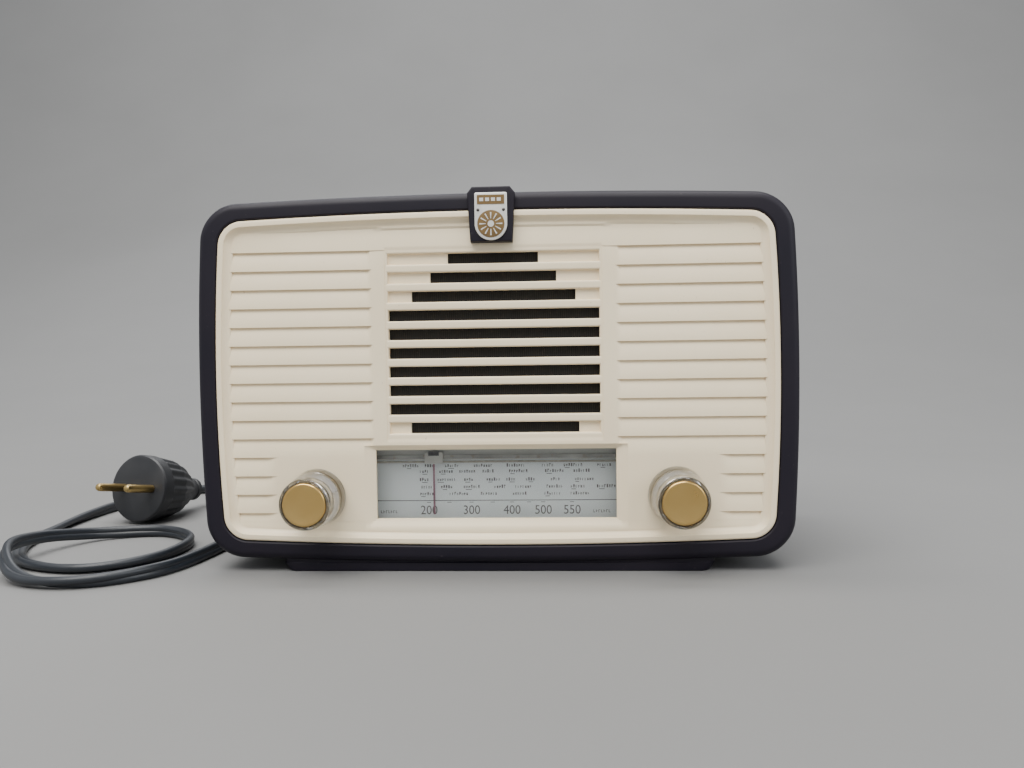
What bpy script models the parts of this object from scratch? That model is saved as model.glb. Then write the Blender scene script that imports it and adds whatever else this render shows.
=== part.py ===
"""Tabletop mains radio with a bakelite cabinet and an ivory front, as separate solids.

Metres, +Z up. The front faces -Y and +X is to the right as seen from the front. The origin is the centre of the
plinth's underside, on the surface that the radio stands on.
"""

import math

import bmesh
import bpy
import numpy as np
from mathutils import Matrix, Vector

# ---------------------------------------------------------------- driving dimensions
GAP = 0.0003  # clearance between pieces that touch on the real object

CABINET_WIDTH = 0.2524
CABINET_HEIGHT = 0.1552  # without the plinth
CABINET_DEPTH = 0.125
PLINTH_HEIGHT = 0.0039
CABINET_CORNER = 0.015
BARREL = 0.0027  # how far each side of the outline bulges at its middle
WALL = 0.0032
REBATE_WALL = 0.0017  # what is left of the wall where the back cover sits
REBATE_DEPTH = 0.0038
DRAFT = 0.0012  # how much smaller each side is at the back

PANEL_WIDTH = 0.2358
PANEL_HEIGHT = 0.1395
PANEL_CORNER = 0.0092

FRONT_Y = -CABINET_DEPTH / 2
BACK_Y = CABINET_DEPTH / 2
MIDDLE_Z = PLINTH_HEIGHT + CABINET_HEIGHT / 2

FIELD_Y = FRONT_Y + 0.0019  # the panel's land, inside its bead
PANEL_BACK_Y = FRONT_Y + 0.0051
FLANGE_Y = FRONT_Y + 0.0058

SLAT_PITCH = 0.0079
TOP_LINE_Z = 0.1358  # the shadow line under the topmost slat
LONG_SLATS = 11
SHORT_SLATS = 4
SLAT_GROOVE = 0.0013
SLAT_OUTER_X = 0.1125
LONG_SLAT_INNER_X = 0.0545
SHORT_SLAT_INNER_X = 0.0965

GRILLE_HALF_WIDTH = 0.0448
SLOT_COUNT = 10
SLOT_HEIGHT = 0.0045
SLOT_DROP = 0.0016  # from a shadow line to the top of its slot
POCKET_DEPTH = 0.0020
# By slot number from the top, for the slots that aren't open all along.
THROUGH_HALF_WIDTHS = {0: 0.0190, 1: 0.0265, 2: 0.0345, 9: 0.0355}

WINDOW_HALF_WIDTH = 0.050
WINDOW_LOW_Z = 0.0221
WINDOW_HIGH_Z = 0.0516

KNOB_X = 0.0754
KNOB_Z = 0.0322
KNOB_HEIGHT = 0.020
SPINDLE_RADIUS = 0.003
DRUM_RADIUS = 0.0226  # of the groove that holds the drive cord

SPEAKER_Z = 0.096
CHASSIS_DECK_Z = 0.0457
CHASSIS_HALF_WIDTH = 0.106
CHASSIS_FRONT_Y = -0.038
CHASSIS_BACK_Y = 0.050
GANG_X = 0.088
GANG_Z = 0.0689

CABLE_WIDTH = 0.006
GLAND_X = -0.072
GLAND_Z = 0.0190
GLAND_TIP_Y = 0.0840

UP_Y = Matrix.Rotation(-math.pi / 2, 4, "X")  # turns a shape made along +Z so that it runs along +Y
UP_Z = Matrix.Identity(4)
SHARP_ANGLE = math.radians(35)


# ---------------------------------------------------------------- materials
def material(name, colour, roughness, metallic=0.0, transmission=0.0):
    made = bpy.data.materials.new(name)
    made.use_nodes = True
    shader = made.node_tree.nodes["Principled BSDF"]
    shader.inputs["Base Color"].default_value = (*colour, 1.0)
    shader.inputs["Roughness"].default_value = roughness
    shader.inputs["Metallic"].default_value = metallic
    shader.inputs["Transmission Weight"].default_value = transmission
    return made


def make_materials():
    return {
        "bakelite": material("bakelite", (0.022, 0.016, 0.022), 0.28),
        "ivory": material("ivory", (0.76, 0.70, 0.58), 0.35),
        "cloth": material("cloth", (0.012, 0.014, 0.012), 0.9),
        "board": material("board", (0.10, 0.06, 0.035), 0.85),
        "steel": material("steel", (0.42, 0.42, 0.40), 0.4, 0.9),
        "brass": material("brass", (0.60, 0.45, 0.20), 0.25, 1.0),
        "gold": material("gold", (0.72, 0.53, 0.24), 0.15, 1.0),
        "clear": material("clear", (0.85, 0.87, 0.88), 0.05, 0.0, 0.9),
        "glass": material("glass", (0.80, 0.84, 0.82), 0.03, 0.0, 0.8),
        "scale": material("scale", (0.46, 0.52, 0.55), 0.4),
        "white": material("white", (0.78, 0.77, 0.74), 0.45),
        "mauve": material("mauve", (0.50, 0.20, 0.32), 0.4),
        "paper": material("paper", (0.05, 0.035, 0.025), 0.9),
        "thread": material("thread", (0.62, 0.60, 0.55), 0.8),
        "aluminium": material("aluminium", (0.62, 0.63, 0.64), 0.35, 1.0),
        "ceramic": material("ceramic", (0.55, 0.50, 0.40), 0.6),
        "copper": material("copper", (0.42, 0.18, 0.08), 0.5, 0.6),
        "rubber": material("rubber", (0.016, 0.016, 0.018), 0.6),
    }


# ---------------------------------------------------------------- shape tools
def clear_scene():
    for old in list(bpy.data.objects):
        bpy.data.objects.remove(old, do_unlink=True)


def finish_mesh(bm, name, finish, place=UP_Z):
    """Closes a bmesh into an object: welded, faces out, smooth but for its sharp edges."""
    bmesh.ops.remove_doubles(bm, verts=bm.verts, dist=1e-6)
    bmesh.ops.recalc_face_normals(bm, faces=bm.faces)
    mesh = bpy.data.meshes.new(name)
    bm.to_mesh(mesh)
    bm.free()
    mesh.shade_smooth()
    mesh.set_sharp_from_angle(angle=SHARP_ANGLE)
    made = bpy.data.objects.new(name, mesh)
    bpy.context.collection.objects.link(made)
    made.matrix_world = place
    if finish is not None:
        mesh.materials.append(finish)
    return made


def add_ring_faces(bm, rings, joined):
    """Quads between neighbouring rings of vertices; joined also links the last ring to the first."""
    pairs = list(zip(rings, rings[1:]))
    if joined:
        pairs.append((rings[-1], rings[0]))
    for first, second in pairs:
        for i in range(len(first)):
            k = (i + 1) % len(first)
            bm.faces.new((first[i], first[k], second[k], second[i]))


def lofted(name, outlines, finish, joined=False, place=UP_Z):
    """A skin over outlines of equal length: capped at both ends, or joined into a ring-shaped wall."""
    bm = bmesh.new()
    rings = [[bm.verts.new(point) for point in outline] for outline in outlines]
    add_ring_faces(bm, rings, joined)
    if not joined:
        bm.faces.new(rings[0])
        bm.faces.new(rings[-1])
    return finish_mesh(bm, name, finish, place)


def add_box(bm, low, high):
    made = bmesh.ops.create_cube(bm, size=1.0)
    size = Vector(high) - Vector(low)
    middle = (Vector(high) + Vector(low)) / 2
    bmesh.ops.scale(bm, vec=size, verts=made["verts"])
    bmesh.ops.translate(bm, vec=middle, verts=made["verts"])


def boxes(name, corners, finish):
    """One object holding a box for each (low, high) pair; they are cutters unless there is only one."""
    bm = bmesh.new()
    for low, high in corners:
        add_box(bm, low, high)
    return finish_mesh(bm, name, finish)


def box(name, low, high, finish):
    return boxes(name, [(low, high)], finish)


def add_prism(bm, outline, offset):
    face = bm.faces.new([bm.verts.new(point) for point in outline])
    grown = bmesh.ops.extrude_face_region(bm, geom=[face])
    moved = [item for item in grown["geom"] if isinstance(item, bmesh.types.BMVert)]
    bmesh.ops.translate(bm, vec=offset, verts=moved)


def prism(name, outline, offset, finish, place=UP_Z):
    bm = bmesh.new()
    add_prism(bm, outline, offset)
    return finish_mesh(bm, name, finish, place)


def turned(name, profile, finish, at=(0, 0, 0), turn=UP_Y, steps=20, closed=False):
    """A profile of (radius, distance along the axis) points, spun round.

    closed joins its last point to its first, for a piece with a bore. Any other profile starts and ends on the axis.
    """
    bm = bmesh.new()
    points = [bm.verts.new((radius, 0, along)) for radius, along in profile]
    edges = [bm.edges.new(pair) for pair in zip(points, points[1:])]
    if closed:
        edges.append(bm.edges.new((points[-1], points[0])))
    bmesh.ops.spin(bm, geom=points + edges, cent=(0, 0, 0), axis=(0, 0, 1), angle=2 * math.pi, steps=steps)
    return finish_mesh(bm, name, finish, Matrix.Translation(at) @ turn)


def rod(name, radius, start, length, finish, turn=UP_Y, steps=16):
    return turned(name, [(0, 0), (radius, 0), (radius, length), (0, length)], finish, start, turn, steps)


def cut(target, cutter, operation="DIFFERENCE"):
    """Adds a Boolean that keeps its helper as a hidden guide."""
    cutter.hide_render = True
    cutter.display_type = "WIRE"
    step = target.modifiers.new(cutter.name, "BOOLEAN")
    step.operation = operation
    step.object = cutter
    step.solver = "EXACT"


def join(target, helper):
    cut(target, helper, "UNION")


# ---------------------------------------------------------------- outlines
def barrel_outline(width, height, corner, inset, y, arc_steps=5, side_steps=4):
    """A rounded rectangle whose sides bulge outwards, in the plane at y, about the cabinet's middle height.

    The plain rectangle is smaller by BARREL. Each point then moves out by
    BARREL * (its own share of the half size) * (1 - the other share squared).
    """
    half_x = width / 2 - BARREL - inset
    half_z = height / 2 - BARREL - inset
    radius = max(corner - inset, 0.001)
    quarter = np.linspace(0, math.pi / 2, arc_steps + 1)
    corners = []
    for index, (sign_x, sign_z) in enumerate(((1, 1), (-1, 1), (-1, -1), (1, -1))):
        angles = quarter + index * math.pi / 2
        centre = np.array((sign_x * (half_x - radius), sign_z * (half_z - radius)))
        corners.append(centre + radius * np.column_stack((np.cos(angles), np.sin(angles))))
    points = []
    for index, arc in enumerate(corners):
        after = corners[(index + 1) % 4][0]
        shares = np.linspace(0, 1, side_steps + 1)[1:-1, None]
        points += [arc, arc[-1] + shares * (after - arc[-1])]
    plain = np.concatenate(points)
    share = plain / (half_x, half_z)
    bulged = plain + BARREL * share * (1 - share[:, ::-1] ** 2)
    return [(x, y, z + MIDDLE_Z) for x, z in bulged]


def cabinet_outline(inset, y):
    return barrel_outline(CABINET_WIDTH, CABINET_HEIGHT, CABINET_CORNER, inset, y)


def panel_outline(inset, y):
    return barrel_outline(PANEL_WIDTH, PANEL_HEIGHT, PANEL_CORNER, inset, y)


# ---------------------------------------------------------------- cabinet and front
BOSS_X = 0.1140
BOSS_LOW_Z = 0.0183
BOSS_HIGH_Z = 0.1447
CHASSIS_SCREW_X = 0.098
TONGUE_TOP_Z = 0.1597
TONGUE_LOW_Z = 0.1375
TONGUE_FRONT_Y = FRONT_Y - 0.0025
PLATE_RADIUS = 0.0067
PLATE_ARC_Z = 0.1450
PLATE_TOP_Z = 0.1578


def make_cabinet(finish):
    """Rounded rim at the front, a drafted wall, and a rebate at the back for the cover."""
    rebate_y = BACK_Y - REBATE_DEPTH
    stations = [
        cabinet_outline(DRAFT, BACK_Y),
        cabinet_outline(0, FRONT_Y + 0.0035),
        cabinet_outline(0.0006, FRONT_Y + 0.0017),
        cabinet_outline(0.0020, FRONT_Y + 0.0004),
        cabinet_outline(0.0036, FRONT_Y),
        panel_outline(-0.0007, FRONT_Y),
        panel_outline(-GAP, FRONT_Y + 0.0004),
        panel_outline(-GAP, FLANGE_Y - GAP),
        cabinet_outline(WALL, FLANGE_Y - GAP),
        cabinet_outline(DRAFT + WALL, rebate_y),
        cabinet_outline(DRAFT + REBATE_WALL, rebate_y),
        cabinet_outline(DRAFT + REBATE_WALL, BACK_Y),
    ]
    cabinet = lofted("cabinet_shell", stations, finish, joined=True)

    half_low = 0.0895
    half_high = 0.0920
    buried_z = 0.0064
    plinth = [(-half_low, 0, 0), (half_low, 0, 0), (half_high, 0, PLINTH_HEIGHT),
              (half_high, 0, buried_z), (-half_high, 0, buried_z), (-half_high, 0, PLINTH_HEIGHT)]
    plinth_front = FRONT_Y + 0.0025
    outline = [(x, plinth_front, z) for x, _, z in plinth]
    join(cabinet, prism("plinth_guide", outline, (0, 0.112, 0), None))

    tongue = [(-0.0087, TONGUE_LOW_Z), (0.0087, TONGUE_LOW_Z), (0.0098, TONGUE_TOP_Z - 0.0025),
              (0.0076, TONGUE_TOP_Z), (-0.0076, TONGUE_TOP_Z), (-0.0098, TONGUE_TOP_Z - 0.0025)]
    outline = [(x, TONGUE_FRONT_Y, z) for x, z in tongue]
    clear_of_panel = -0.0004 - TONGUE_FRONT_Y + FRONT_Y
    join(cabinet, prism("tongue_guide", outline, (0, clear_of_panel, 0), None))
    root = [(x, y, z) for x, y, z in outline if z > PLATE_TOP_Z - 0.001]
    root = [(-0.0096, TONGUE_FRONT_Y, 0.1533), (0.0096, TONGUE_FRONT_Y, 0.1533), *root]
    join(cabinet, prism("tongue_root_guide", root, (0, 0.006, 0), None))

    boss_length = 0.026
    for x in (-BOSS_X, BOSS_X):
        for z in (BOSS_LOW_Z, BOSS_HIGH_Z):
            side = f"{'left' if x < 0 else 'right'}_{'low' if z < MIDDLE_Z else 'high'}"
            start = (x, rebate_y - boss_length, z)
            join(cabinet, rod(f"boss_guide_{side}", 0.006, start, boss_length, None, steps=12))
            drill = rod(f"boss_drill_{side}", 0.0019, (x, rebate_y - 0.014, z), 0.03, None, steps=10)
            cut(cabinet, drill)
    for x in (-CHASSIS_SCREW_X, CHASSIS_SCREW_X):
        side = "left" if x < 0 else "right"
        cut(cabinet, rod(f"floor_drill_{side}", 0.0021, (x, 0.010, -0.005), 0.02, None, UP_Z, 10))
    return cabinet


def groove_outline(line_z, x):
    """Section of the cut above one slat: a ledge at the shadow line, then a convex slope back to the land."""
    front = FIELD_Y - 0.004
    floor = FIELD_Y + SLAT_GROOVE
    return [
        (x, front, line_z + 0.00015),
        (x, floor, line_z),
        (x, floor - 0.50 * SLAT_GROOVE, line_z - 0.22 * SLAT_PITCH),
        (x, floor - 0.82 * SLAT_GROOVE, line_z - 0.50 * SLAT_PITCH),
        (x, FIELD_Y, line_z - 0.86 * SLAT_PITCH),
        (x, front, line_z - 0.86 * SLAT_PITCH),
    ]


def make_front_panel(finish):
    """A bead round the edge, a cove down to the land, slats at both sides, grille, window and spindle holes."""
    bead = [(0, FLANGE_Y), (0, FRONT_Y + 0.0012), (0.0006, FRONT_Y + 0.0004), (0.0018, FRONT_Y + 0.0004),
            (0.0030, FRONT_Y + 0.0013), (0.0046, FIELD_Y)]
    skirt_y = FLANGE_Y + 0.002
    back = [(0.0046, PANEL_BACK_Y), (0.0030, PANEL_BACK_Y), (0.0030, skirt_y), (-0.0020, skirt_y),
            (-0.0020, FLANGE_Y)]
    panel = lofted("front_panel", [panel_outline(inset, y) for inset, y in back + bead], finish)

    bm = bmesh.new()
    for number in range(LONG_SLATS + SHORT_SLATS):
        line_z = TOP_LINE_Z - number * SLAT_PITCH
        inner = LONG_SLAT_INNER_X if number < LONG_SLATS else SHORT_SLAT_INNER_X
        for start in (-SLAT_OUTER_X, inner):
            add_prism(bm, groove_outline(line_z, start), (SLAT_OUTER_X - inner, 0, 0))
    cut(panel, finish_mesh(bm, "slat_cutter", None))

    deep = PANEL_BACK_Y + 0.004
    pockets = []
    slots = []
    for number in range(SLOT_COUNT):
        high = TOP_LINE_Z - SLOT_DROP - number * SLAT_PITCH
        half = THROUGH_HALF_WIDTHS.get(number, GRILLE_HALF_WIDTH)
        slots.append(((-half, FIELD_Y - 0.004, high - SLOT_HEIGHT), (half, deep, high)))
        if half < GRILLE_HALF_WIDTH:
            low = (-GRILLE_HALF_WIDTH, FIELD_Y - 0.003, high - SLOT_HEIGHT)
            pockets.append((low, (GRILLE_HALF_WIDTH, FIELD_Y + POCKET_DEPTH, high)))
    cut(panel, boxes("pocket_cutter", pockets, None))
    cut(panel, boxes("slot_cutter", slots, None))

    low = (-WINDOW_HALF_WIDTH, FIELD_Y - 0.006, WINDOW_LOW_Z)
    cut(panel, box("window_cutter", low, (WINDOW_HALF_WIDTH, deep, WINDOW_HIGH_Z), None))
    flare = []
    for y, side, low_z, high_z in ((FIELD_Y - 0.001, 0.0046, 0.0034, 0.0022), (FIELD_Y + 0.0016, 0, 0, 0)):
        x = WINDOW_HALF_WIDTH + side
        bottom, top = WINDOW_LOW_Z - low_z, WINDOW_HIGH_Z + high_z
        flare.append([(-x, y, bottom), (x, y, bottom), (x, y, top), (-x, y, top)])
    cut(panel, lofted("window_flare_cutter", flare, None))
    for x in (-KNOB_X, KNOB_X):
        side = "left" if x < 0 else "right"
        cut(panel, rod(f"spindle_drill_{side}", 0.0045, (x, FIELD_Y - 0.006, KNOB_Z), 0.02, None))
    return panel


def make_badge(silver):
    """A shield plate with a round foot, held by two tiny rivets."""
    back = TONGUE_FRONT_Y - GAP
    arc = [(PLATE_RADIUS * math.cos(a), back, PLATE_ARC_Z + PLATE_RADIUS * math.sin(a))
           for a in np.linspace(math.pi, 2 * math.pi, 13)]
    outline = arc + [(PLATE_RADIUS, back, PLATE_TOP_Z), (-PLATE_RADIUS, back, PLATE_TOP_Z)]
    prism("badge_plate", outline, (0, -0.0009, 0), silver)
    for name, x in (("badge_rivet_left", -0.00527), ("badge_rivet_right", 0.00527)):
        rod(name, 0.0006, (x, back - 0.0009 - GAP - 0.0005, 0.1507), 0.0005, silver, steps=10)


# ---------------------------------------------------------------- dial
POINTER_X = -0.0274
RAIL_Y = -0.0492
CARRIAGE_Y = -0.0506
DRIVE_FRONT_Y = -0.0507
CORD_Y = -0.0488  # plane of the drive cord's run along the rail
CORD_BACK_Y = -0.0450  # plane of its run behind the scale
DIAL_CORD_RADIUS = 0.0005
CORD_CLEAR = DIAL_CORD_RADIUS + 2 * GAP
PULLEY_RADIUS = 0.0038
PULLEY_X = -0.060
PULLEY_Z = GANG_Z - DRUM_RADIUS - PULLEY_RADIUS - 2 * CORD_CLEAR


def make_dial(materials):
    glass_y = PANEL_BACK_Y + GAP
    box("dial_glass", (-0.053, glass_y, 0.0190), (0.053, glass_y + 0.0015, 0.0546), materials["glass"])
    half = 0.054
    scale_y = -0.0475
    scale = box("dial_scale", (-half, scale_y, 0.0167), (half, scale_y + 0.0010, 0.0545), materials["scale"])
    rail = box("pointer_rail", (-half, RAIL_Y, 0.0466), (half, RAIL_Y + 0.0008, 0.0482), materials["white"])
    for side, x in (("left", -half), ("right", half - 0.004)):
        leg_end = (x + 0.004, CHASSIS_FRONT_Y - GAP, 0.0237)
        join(scale, box(f"scale_leg_guide_{side}", (x, scale_y + 0.0005, 0.0197), leg_end, None))
        tab_end = (x + 0.004, scale_y - GAP, 0.0482)
        join(rail, box(f"rail_tab_guide_{side}", (x, RAIL_Y + 0.0004, 0.0466), tab_end, None))

    # The carriage rides on the rail's top edge and hooks over it; the pointer hangs in front of the scale.
    carriage = box("pointer_carriage", (POINTER_X - 0.004, CARRIAGE_Y, 0.0447),
                   (POINTER_X + 0.004, CARRIAGE_Y + 0.0010, 0.0495), materials["white"])
    hook = box("carriage_hook_guide", (POINTER_X - 0.004, CARRIAGE_Y + 0.0005, 0.0485),
               (POINTER_X + 0.004, RAIL_Y + 0.0008, 0.0495), None)
    join(carriage, hook)
    half = 0.0004
    pointer_end = (POINTER_X + half, CARRIAGE_Y + 0.0006, 0.0444)
    box("dial_pointer", (POINTER_X - half, CARRIAGE_Y, 0.0226), pointer_end, materials["mauve"])

    # The pulley and the stud that carries it stand on the chassis apron.
    stud_end = CHASSIS_FRONT_Y - GAP - DRIVE_FRONT_Y
    flange = 0.0056
    profile = [(0, 0), (flange, 0), (PULLEY_RADIUS, 0.0009), (PULLEY_RADIUS, 0.0066), (flange, 0.0075),
               (0.0015, 0.0075), (0.0015, stud_end), (0, stud_end)]
    turned("cord_pulley", profile, materials["brass"], (PULLEY_X, DRIVE_FRONT_Y, PULLEY_Z), steps=16)


def arc_points(centre_x, centre_z, radius, start, end, y_start, y_end, steps):
    """Points round a pulley, as degrees anticlockwise seen from the front, stepping from one y to another."""
    angles = np.radians(np.linspace(start, end, steps))
    across = np.linspace(y_start, y_end, steps)
    return list(zip(centre_x + radius * np.cos(angles), across, centre_z + radius * np.sin(angles)))


def make_dial_cord(finish):
    """The drive cord: along the rail, round the drum, across to wind round the tuning spindle, and back."""
    on_pulley = PULLEY_RADIUS + CORD_CLEAR
    on_drum = DRUM_RADIUS + CORD_CLEAR
    on_spindle = SPINDLE_RADIUS + CORD_CLEAR
    centres = Vector((KNOB_X - GANG_X, KNOB_Z - GANG_Z))
    facing = math.degrees(math.atan2(centres.y, centres.x)) + 360
    leaves = facing - math.degrees(math.acos((on_drum + on_spindle) / centres.length))
    drum = arc_points(GANG_X, GANG_Z, on_drum, -90, leaves, CORD_Y, -0.0470, 18)
    spindle = arc_points(KNOB_X, KNOB_Z, on_spindle, leaves - 180, -450, -0.0466, CORD_BACK_Y, 18)
    pulley = arc_points(PULLEY_X, PULLEY_Z, on_pulley, -90, -270, CORD_BACK_Y, CORD_Y, 8)
    points = drum + spindle + pulley
    curve = bpy.data.curves.new("dial_cord", "CURVE")
    curve.dimensions = "3D"
    curve.bevel_depth = DIAL_CORD_RADIUS
    curve.bevel_resolution = 1
    spline = curve.splines.new("POLY")
    spline.points.add(len(points) - 1)
    spline.points.foreach_set("co", np.column_stack((points, np.ones(len(points)))).ravel())
    spline.use_cyclic_u = True
    curve.materials.append(finish)
    bpy.context.collection.objects.link(bpy.data.objects.new("dial_cord", curve))


# ---------------------------------------------------------------- loudspeaker
def make_speaker(materials):
    cloth_y = PANEL_BACK_Y + GAP
    box("speaker_cloth", (-0.054, cloth_y, 0.0552), (0.054, cloth_y + 0.0006, 0.1400), materials["cloth"])
    board_y = cloth_y + 0.0009
    board_end = (0.056, board_y + 0.003, 0.1470)
    board = box("speaker_baffle", (-0.056, board_y, 0.0552), board_end, materials["board"])
    cut(board, rod("baffle_drill", 0.0395, (0, board_y - 0.01, SPEAKER_Z), 0.03, None, steps=32))

    basket_y = board_y + 0.0033
    rim = [(0.0435, 0), (0.0435, 0.0022), (0.0400, 0.0024), (0.0400, 0.0058)]
    outer = rim + [(0.0180, 0.0255), (0.0180, 0.0270)]
    inner = [(0.0095, 0.0270), (0.0095, 0.0256), (0.0165, 0.0246), (0.0385, 0.0050), (0.0385, 0)]
    turned("speaker_basket", outer + inner, materials["steel"], (0, basket_y, SPEAKER_Z), steps=20, closed=True)
    magnet_y = basket_y + 0.0270 + GAP
    rod("speaker_magnet", 0.0190, (0, magnet_y, SPEAKER_Z), 0.0180, materials["steel"], steps=24)

    # Cone with its rolled edge, dust cap and voice coil former, as one paper piece.
    cap = [(0, 0.0110), (0.0060, 0.0122), (0.0088, 0.0142)]
    roll = [(0.0330, 0.0010), (0.0350, 0.0020), (0.0370, 0.0010), (0.0370, 0.0018), (0.0350, 0.0028),
            (0.0332, 0.0019)]
    former = [(0.0090, 0.0156), (0.0086, 0.0225), (0, 0.0225)]
    turned("speaker_cone", cap + roll + former, materials["paper"], (0, basket_y, SPEAKER_Z), steps=20)


# ---------------------------------------------------------------- tuning drive
VANE_RADIUS = 0.0135
VANE_PITCH = 0.0036
VANE_THICKNESS = 0.0009
VANE_COUNT = 4
FIRST_VANE_Y = -0.0320
FRAME_FRONT_Y = -0.0400
FRAME_BACK_Y = -0.0080
REST_VANE_ANGLE = -156.0  # the vanes are nearly all out, as they are near the low end of the scale


def half_disc(radius, y, turn, steps=10, inner=0.0):
    """Outline of a half disc about the capacitor's axis, turned by some degrees from lying at the left."""
    angles = np.radians(np.linspace(90, 270, steps + 1) + turn)
    rim = [(GANG_X + radius * math.cos(a), y, GANG_Z + radius * math.sin(a)) for a in angles]
    if not inner:
        return rim
    return rim + [(GANG_X + inner * math.cos(a), y, GANG_Z + inner * math.sin(a)) for a in angles[::-1]]


def make_tuning_capacitor(materials):
    """A frame of two end plates on a foot, fixed vanes at the left, and vanes that swing into them."""
    width = 0.0175
    plate = 0.0014
    low = CHASSIS_DECK_Z + GAP
    frame = box("gang_frame", (GANG_X - width, FRAME_FRONT_Y, low), (GANG_X + width, FRAME_BACK_Y, low + plate),
                materials["aluminium"])
    for name, y in (("front", FRAME_FRONT_Y), ("back", FRAME_BACK_Y - plate)):
        join(frame, box(f"gang_{name}_plate_guide", (GANG_X - width, y, low),
                        (GANG_X + width, y + plate, GANG_Z + 0.016), None))
    cut(frame, rod("gang_drill", SPINDLE_RADIUS + 0.0004, (GANG_X, FRAME_FRONT_Y - 0.01, GANG_Z), 0.06, None))

    # Vanes of the stator lie between those of the rotor and are tied by a bar outside the rotor's sweep.
    bar_low = (GANG_X - width + 0.0008, FRAME_FRONT_Y + plate + 0.002, GANG_Z - 0.003)
    bar_high = (GANG_X - VANE_RADIUS - 0.0007, FRAME_BACK_Y - plate - 0.002, GANG_Z + 0.003)
    stator = box("gang_stator", bar_low, bar_high, materials["aluminium"])
    bm = bmesh.new()
    for number in range(VANE_COUNT + 1):
        y = FIRST_VANE_Y + (number - 0.5) * VANE_PITCH
        add_prism(bm, half_disc(0.0150, y, 0, inner=0.0045), (0, VANE_THICKNESS, 0))
    join(stator, finish_mesh(bm, "stator_vane_guide", None))

    rotor = rod("gang_rotor", SPINDLE_RADIUS, (GANG_X, -0.0515, GANG_Z), 0.0475, materials["aluminium"])
    bm = bmesh.new()
    for number in range(VANE_COUNT):
        y = FIRST_VANE_Y + number * VANE_PITCH
        add_prism(bm, half_disc(VANE_RADIUS, y, REST_VANE_ANGLE), (0, VANE_THICKNESS, 0))
    join(rotor, finish_mesh(bm, "rotor_vane_guide", None))

    flange = DRUM_RADIUS + 0.0018
    bore = SPINDLE_RADIUS + GAP
    rim = [(bore, 0), (0.006, 0), (0.006, 0.0018), (0.0205, 0.0018), (0.0205, 0), (flange, 0),
           (DRUM_RADIUS, 0.0012), (DRUM_RADIUS, 0.0045), (flange, 0.0057), (0.0205, 0.0057),
           (0.0205, 0.0036), (0.006, 0.0036), (0.006, 0.0057), (bore, 0.0057)]
    turned("drive_drum", rim, materials["board"], (GANG_X, DRIVE_FRONT_Y, GANG_Z), steps=24, closed=True)


def make_controls(materials):
    """Both spindles with their knobs and caps, the tuning bush, and the volume control with its nut."""
    apron_front = CHASSIS_FRONT_Y
    for side, x in (("volume", -KNOB_X), ("tuning", KNOB_X)):
        rod(f"{side}_spindle", SPINDLE_RADIUS, (x, -0.0700, KNOB_Z), 0.0370, materials["brass"])
        bore = SPINDLE_RADIUS + GAP
        height = KNOB_HEIGHT
        # Distances along the axis run from the front face back to the panel.
        knob = [(0, 0.0016), (0.0091, 0.0016), (0.0091, 0), (0.0101, 0), (0.0106, 0.0008), (0.0113, 0.0120),
                (0.0120, height - 0.0008), (0.0117, height), (0.0060, height), (0.0060, height - 0.0030),
                (bore, height - 0.0030), (bore, 0.0095), (0, 0.0095)]
        front = FIELD_Y - 0.0008 - height
        turned(f"{side}_knob", knob, materials["clear"], (x, front, KNOB_Z), steps=24)
        cap = [(0, 0), (0.0080, 0.0001), (0.0088, 0.0006), (0.0088, 0.0014), (0, 0.0014)]
        turned(f"{side}_cap", cap, materials["gold"], (x, front - 0.0001, KNOB_Z), steps=20)

    bush = [(0.0034, 0), (0.0050, 0), (0.0050, 0.0020), (0.0080, 0.0020), (0.0080, 0.0035), (0.0050, 0.0035),
            (0.0050, 0.0080), (0.0034, 0.0080)]
    bush_at = (KNOB_X, apron_front - 0.0038, KNOB_Z)
    turned("tuning_bush", bush, materials["brass"], bush_at, steps=16, closed=True)

    pot = [(0, 0.0130), (0.0034, 0.0130), (0.0034, 0), (0.0045, 0), (0.0045, 0.0058), (0.0105, 0.0058),
           (0.0110, 0.0064), (0.0110, 0.0160), (0.0105, 0.0166), (0, 0.0166)]
    turned("volume_pot", pot[::-1], materials["steel"], (-KNOB_X, apron_front - 0.0043, KNOB_Z), steps=20)
    nut = [(0.0054, 0), (0.0077, 0), (0.0077, 0.0022), (0.0054, 0.0022)]
    turned("volume_nut", nut, materials["brass"], (-KNOB_X, apron_front - 0.0025, KNOB_Z), steps=6, closed=True)


# ---------------------------------------------------------------- chassis and what stands on it
VALVES = (  # name, x, y, height of the glass
    ("mixer_valve", 0.090, 0.032, 0.056),
    ("if_valve", 0.035, 0.032, 0.056),
    ("detector_valve", -0.019, 0.032, 0.056),
    ("output_valve", -0.074, 0.032, 0.066),
    ("rectifier_valve", -0.090, 0.003, 0.066),
)


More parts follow.
